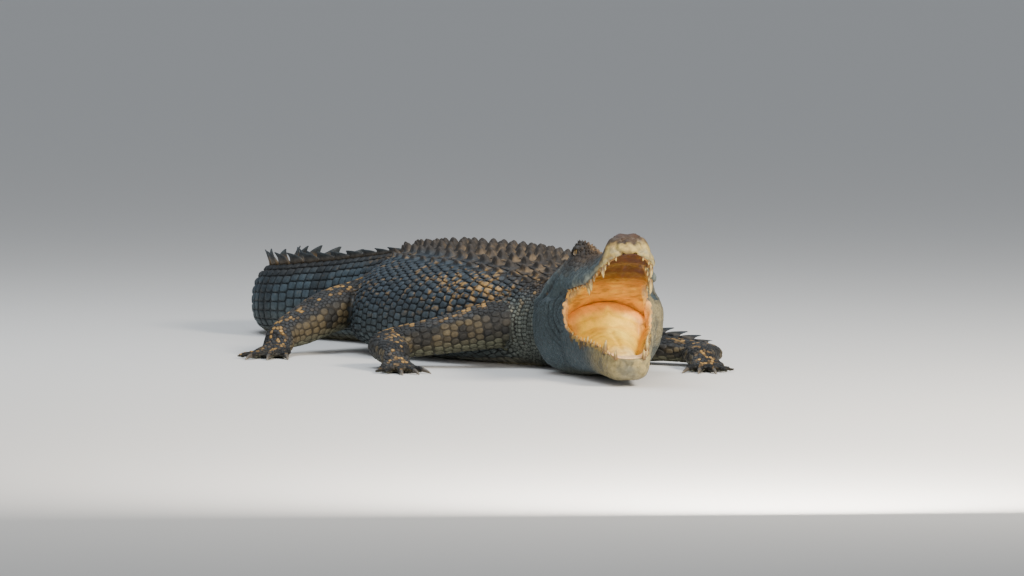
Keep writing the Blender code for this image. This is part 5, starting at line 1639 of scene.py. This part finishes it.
def dress_skin(skin, seeds):
    """Paints the skin, darker between the scales than where it shows: partly dark grooves, partly painted shade
    between the scales.
    """
    co = coordinates(skin.data)
    region, u, q = placed_on(co)
    found = [seeds.near.find(point) for point in co.tolist()]
    bare = step(np.array([distance / seeds.sizes[number] for _, number, distance in found]), 1.9, 2.8)
    # the skin under and between the scales darkens, partly as painted shade; the head's skin darkens less
    under = np.where((region == UPPER_HEAD) | (region == LOWER_HEAD), 0.80, 0.34)
    colour = markings(region, u, q, co) * (under + (1 - under) * bare)[:, None]
    dressed(skin, colour, hide_finish("hide_skin", 0.46, 0.70, 0.7), "hide_flank")
    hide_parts("head", "lower_jaw", "neck", "trunk", "tail_1", "tail_2", "tail_3", "tail_4",
                *(f"{leg}_{part}" for leg in LEGS for part in ("upper", "lower", "foot")))


def build():
    skin = make_skin()
    hide = hide_finish("hide", 0.50, 0.78, 0.55)
    seeds = Seeds(BVHTree.FromObject(skin, bpy.context.evaluated_depsgraph_get()))
    make_coat(seeds, plant(seeds), hide)
    crest_blades(hide)
    dress_skin(skin, seeds)
    make_mouth(flesh_finish())
    make_teeth(smooth_finish("ivory", 0.34, 0.52, 260.0, 0.25, 0.05))
    make_claws(smooth_finish("horn", 0.32, 0.55, 320.0, 0.5))
    make_eyes(smooth_finish("eye_glaze", 0.05, 0.09, 900.0, 0.02, 1.0))


def light(name, place, aim, size, power, colour):
    data = bpy.data.lights.new(name, "AREA")
    data.shape = "DISK"
    data.size = size
    data.energy = power
    data.color = colour
    obj = new_object(name, data)
    obj.location = place
    obj.rotation_euler = (Vector(aim) - Vector(place)).to_track_quat("-Z", "Y").to_euler()


def studio():
    half = 60
    data = make_mesh("floor", [(-half, -half, 0), (half, -half, 0), (half, half, 0), (-half, half, 0)], [(0, 1, 2, 3)])
    pale = bpy.data.materials.new("floor")
    pale.use_nodes = True
    shader = pale.node_tree.nodes["Principled BSDF"]
    shader.inputs["Base Color"].default_value = (0.70, 0.69, 0.67, 1)
    shader.inputs["Roughness"].default_value = 0.85
    data.materials.append(pale)
    new_object("floor", data)
    world = bpy.data.worlds.new("studio")
    world.use_nodes = True
    world.node_tree.nodes["Background"].inputs["Color"].default_value = (0.86, 0.92, 1.0, 1)
    world.node_tree.nodes["Background"].inputs["Strength"].default_value = 0.42
    bpy.context.scene.world = world
    light("key", (4.4, 1.6, 3.0), (0.3, -0.1, 0.15), 1.5, 380, (1.0, 0.92, 0.80))
    light("front", (5.0, -1.4, 0.9), (0.8, -0.05, 0.2), 1.6, 150, (1.0, 0.93, 0.84))
    light("top", (-0.4, -0.9, 4.6), (-0.2, 0, 0.1), 3.2, 170, (0.86, 0.93, 1.0))


def camera():
    """At the photo's angle, with the jaw joint where the photo has it."""
    azimuth, elevation, distance = math.radians(23.0), math.radians(3.1), 22
    pixels_per_metre, photo_width, photo_height = 385, 1024, 576
    joint, joint_pixel = Vector((0.7693, -0.0577, 0)), (598, 373)
    towards = Vector((math.cos(azimuth) * math.cos(elevation), -math.sin(azimuth) * math.cos(elevation),
                      math.sin(elevation)))
    right = Vector((math.sin(azimuth), math.cos(azimuth), 0))
    up = towards.cross(right)
    target = (joint - right * ((joint_pixel[0] - photo_width / 2) / pixels_per_metre)
              + up * ((joint_pixel[1] - photo_height / 2) / pixels_per_metre))
    data = bpy.data.cameras.new("camera")
    data.sensor_width = 36
    data.lens = data.sensor_width * distance / (photo_width / pixels_per_metre)
    data.clip_end = 200
    obj = new_object("camera", data)
    obj.location = target + towards * distance
    obj.rotation_euler = (-towards).to_track_quat("-Z", "Y").to_euler()
    bpy.context.scene.camera = obj


build()
studio()
camera()
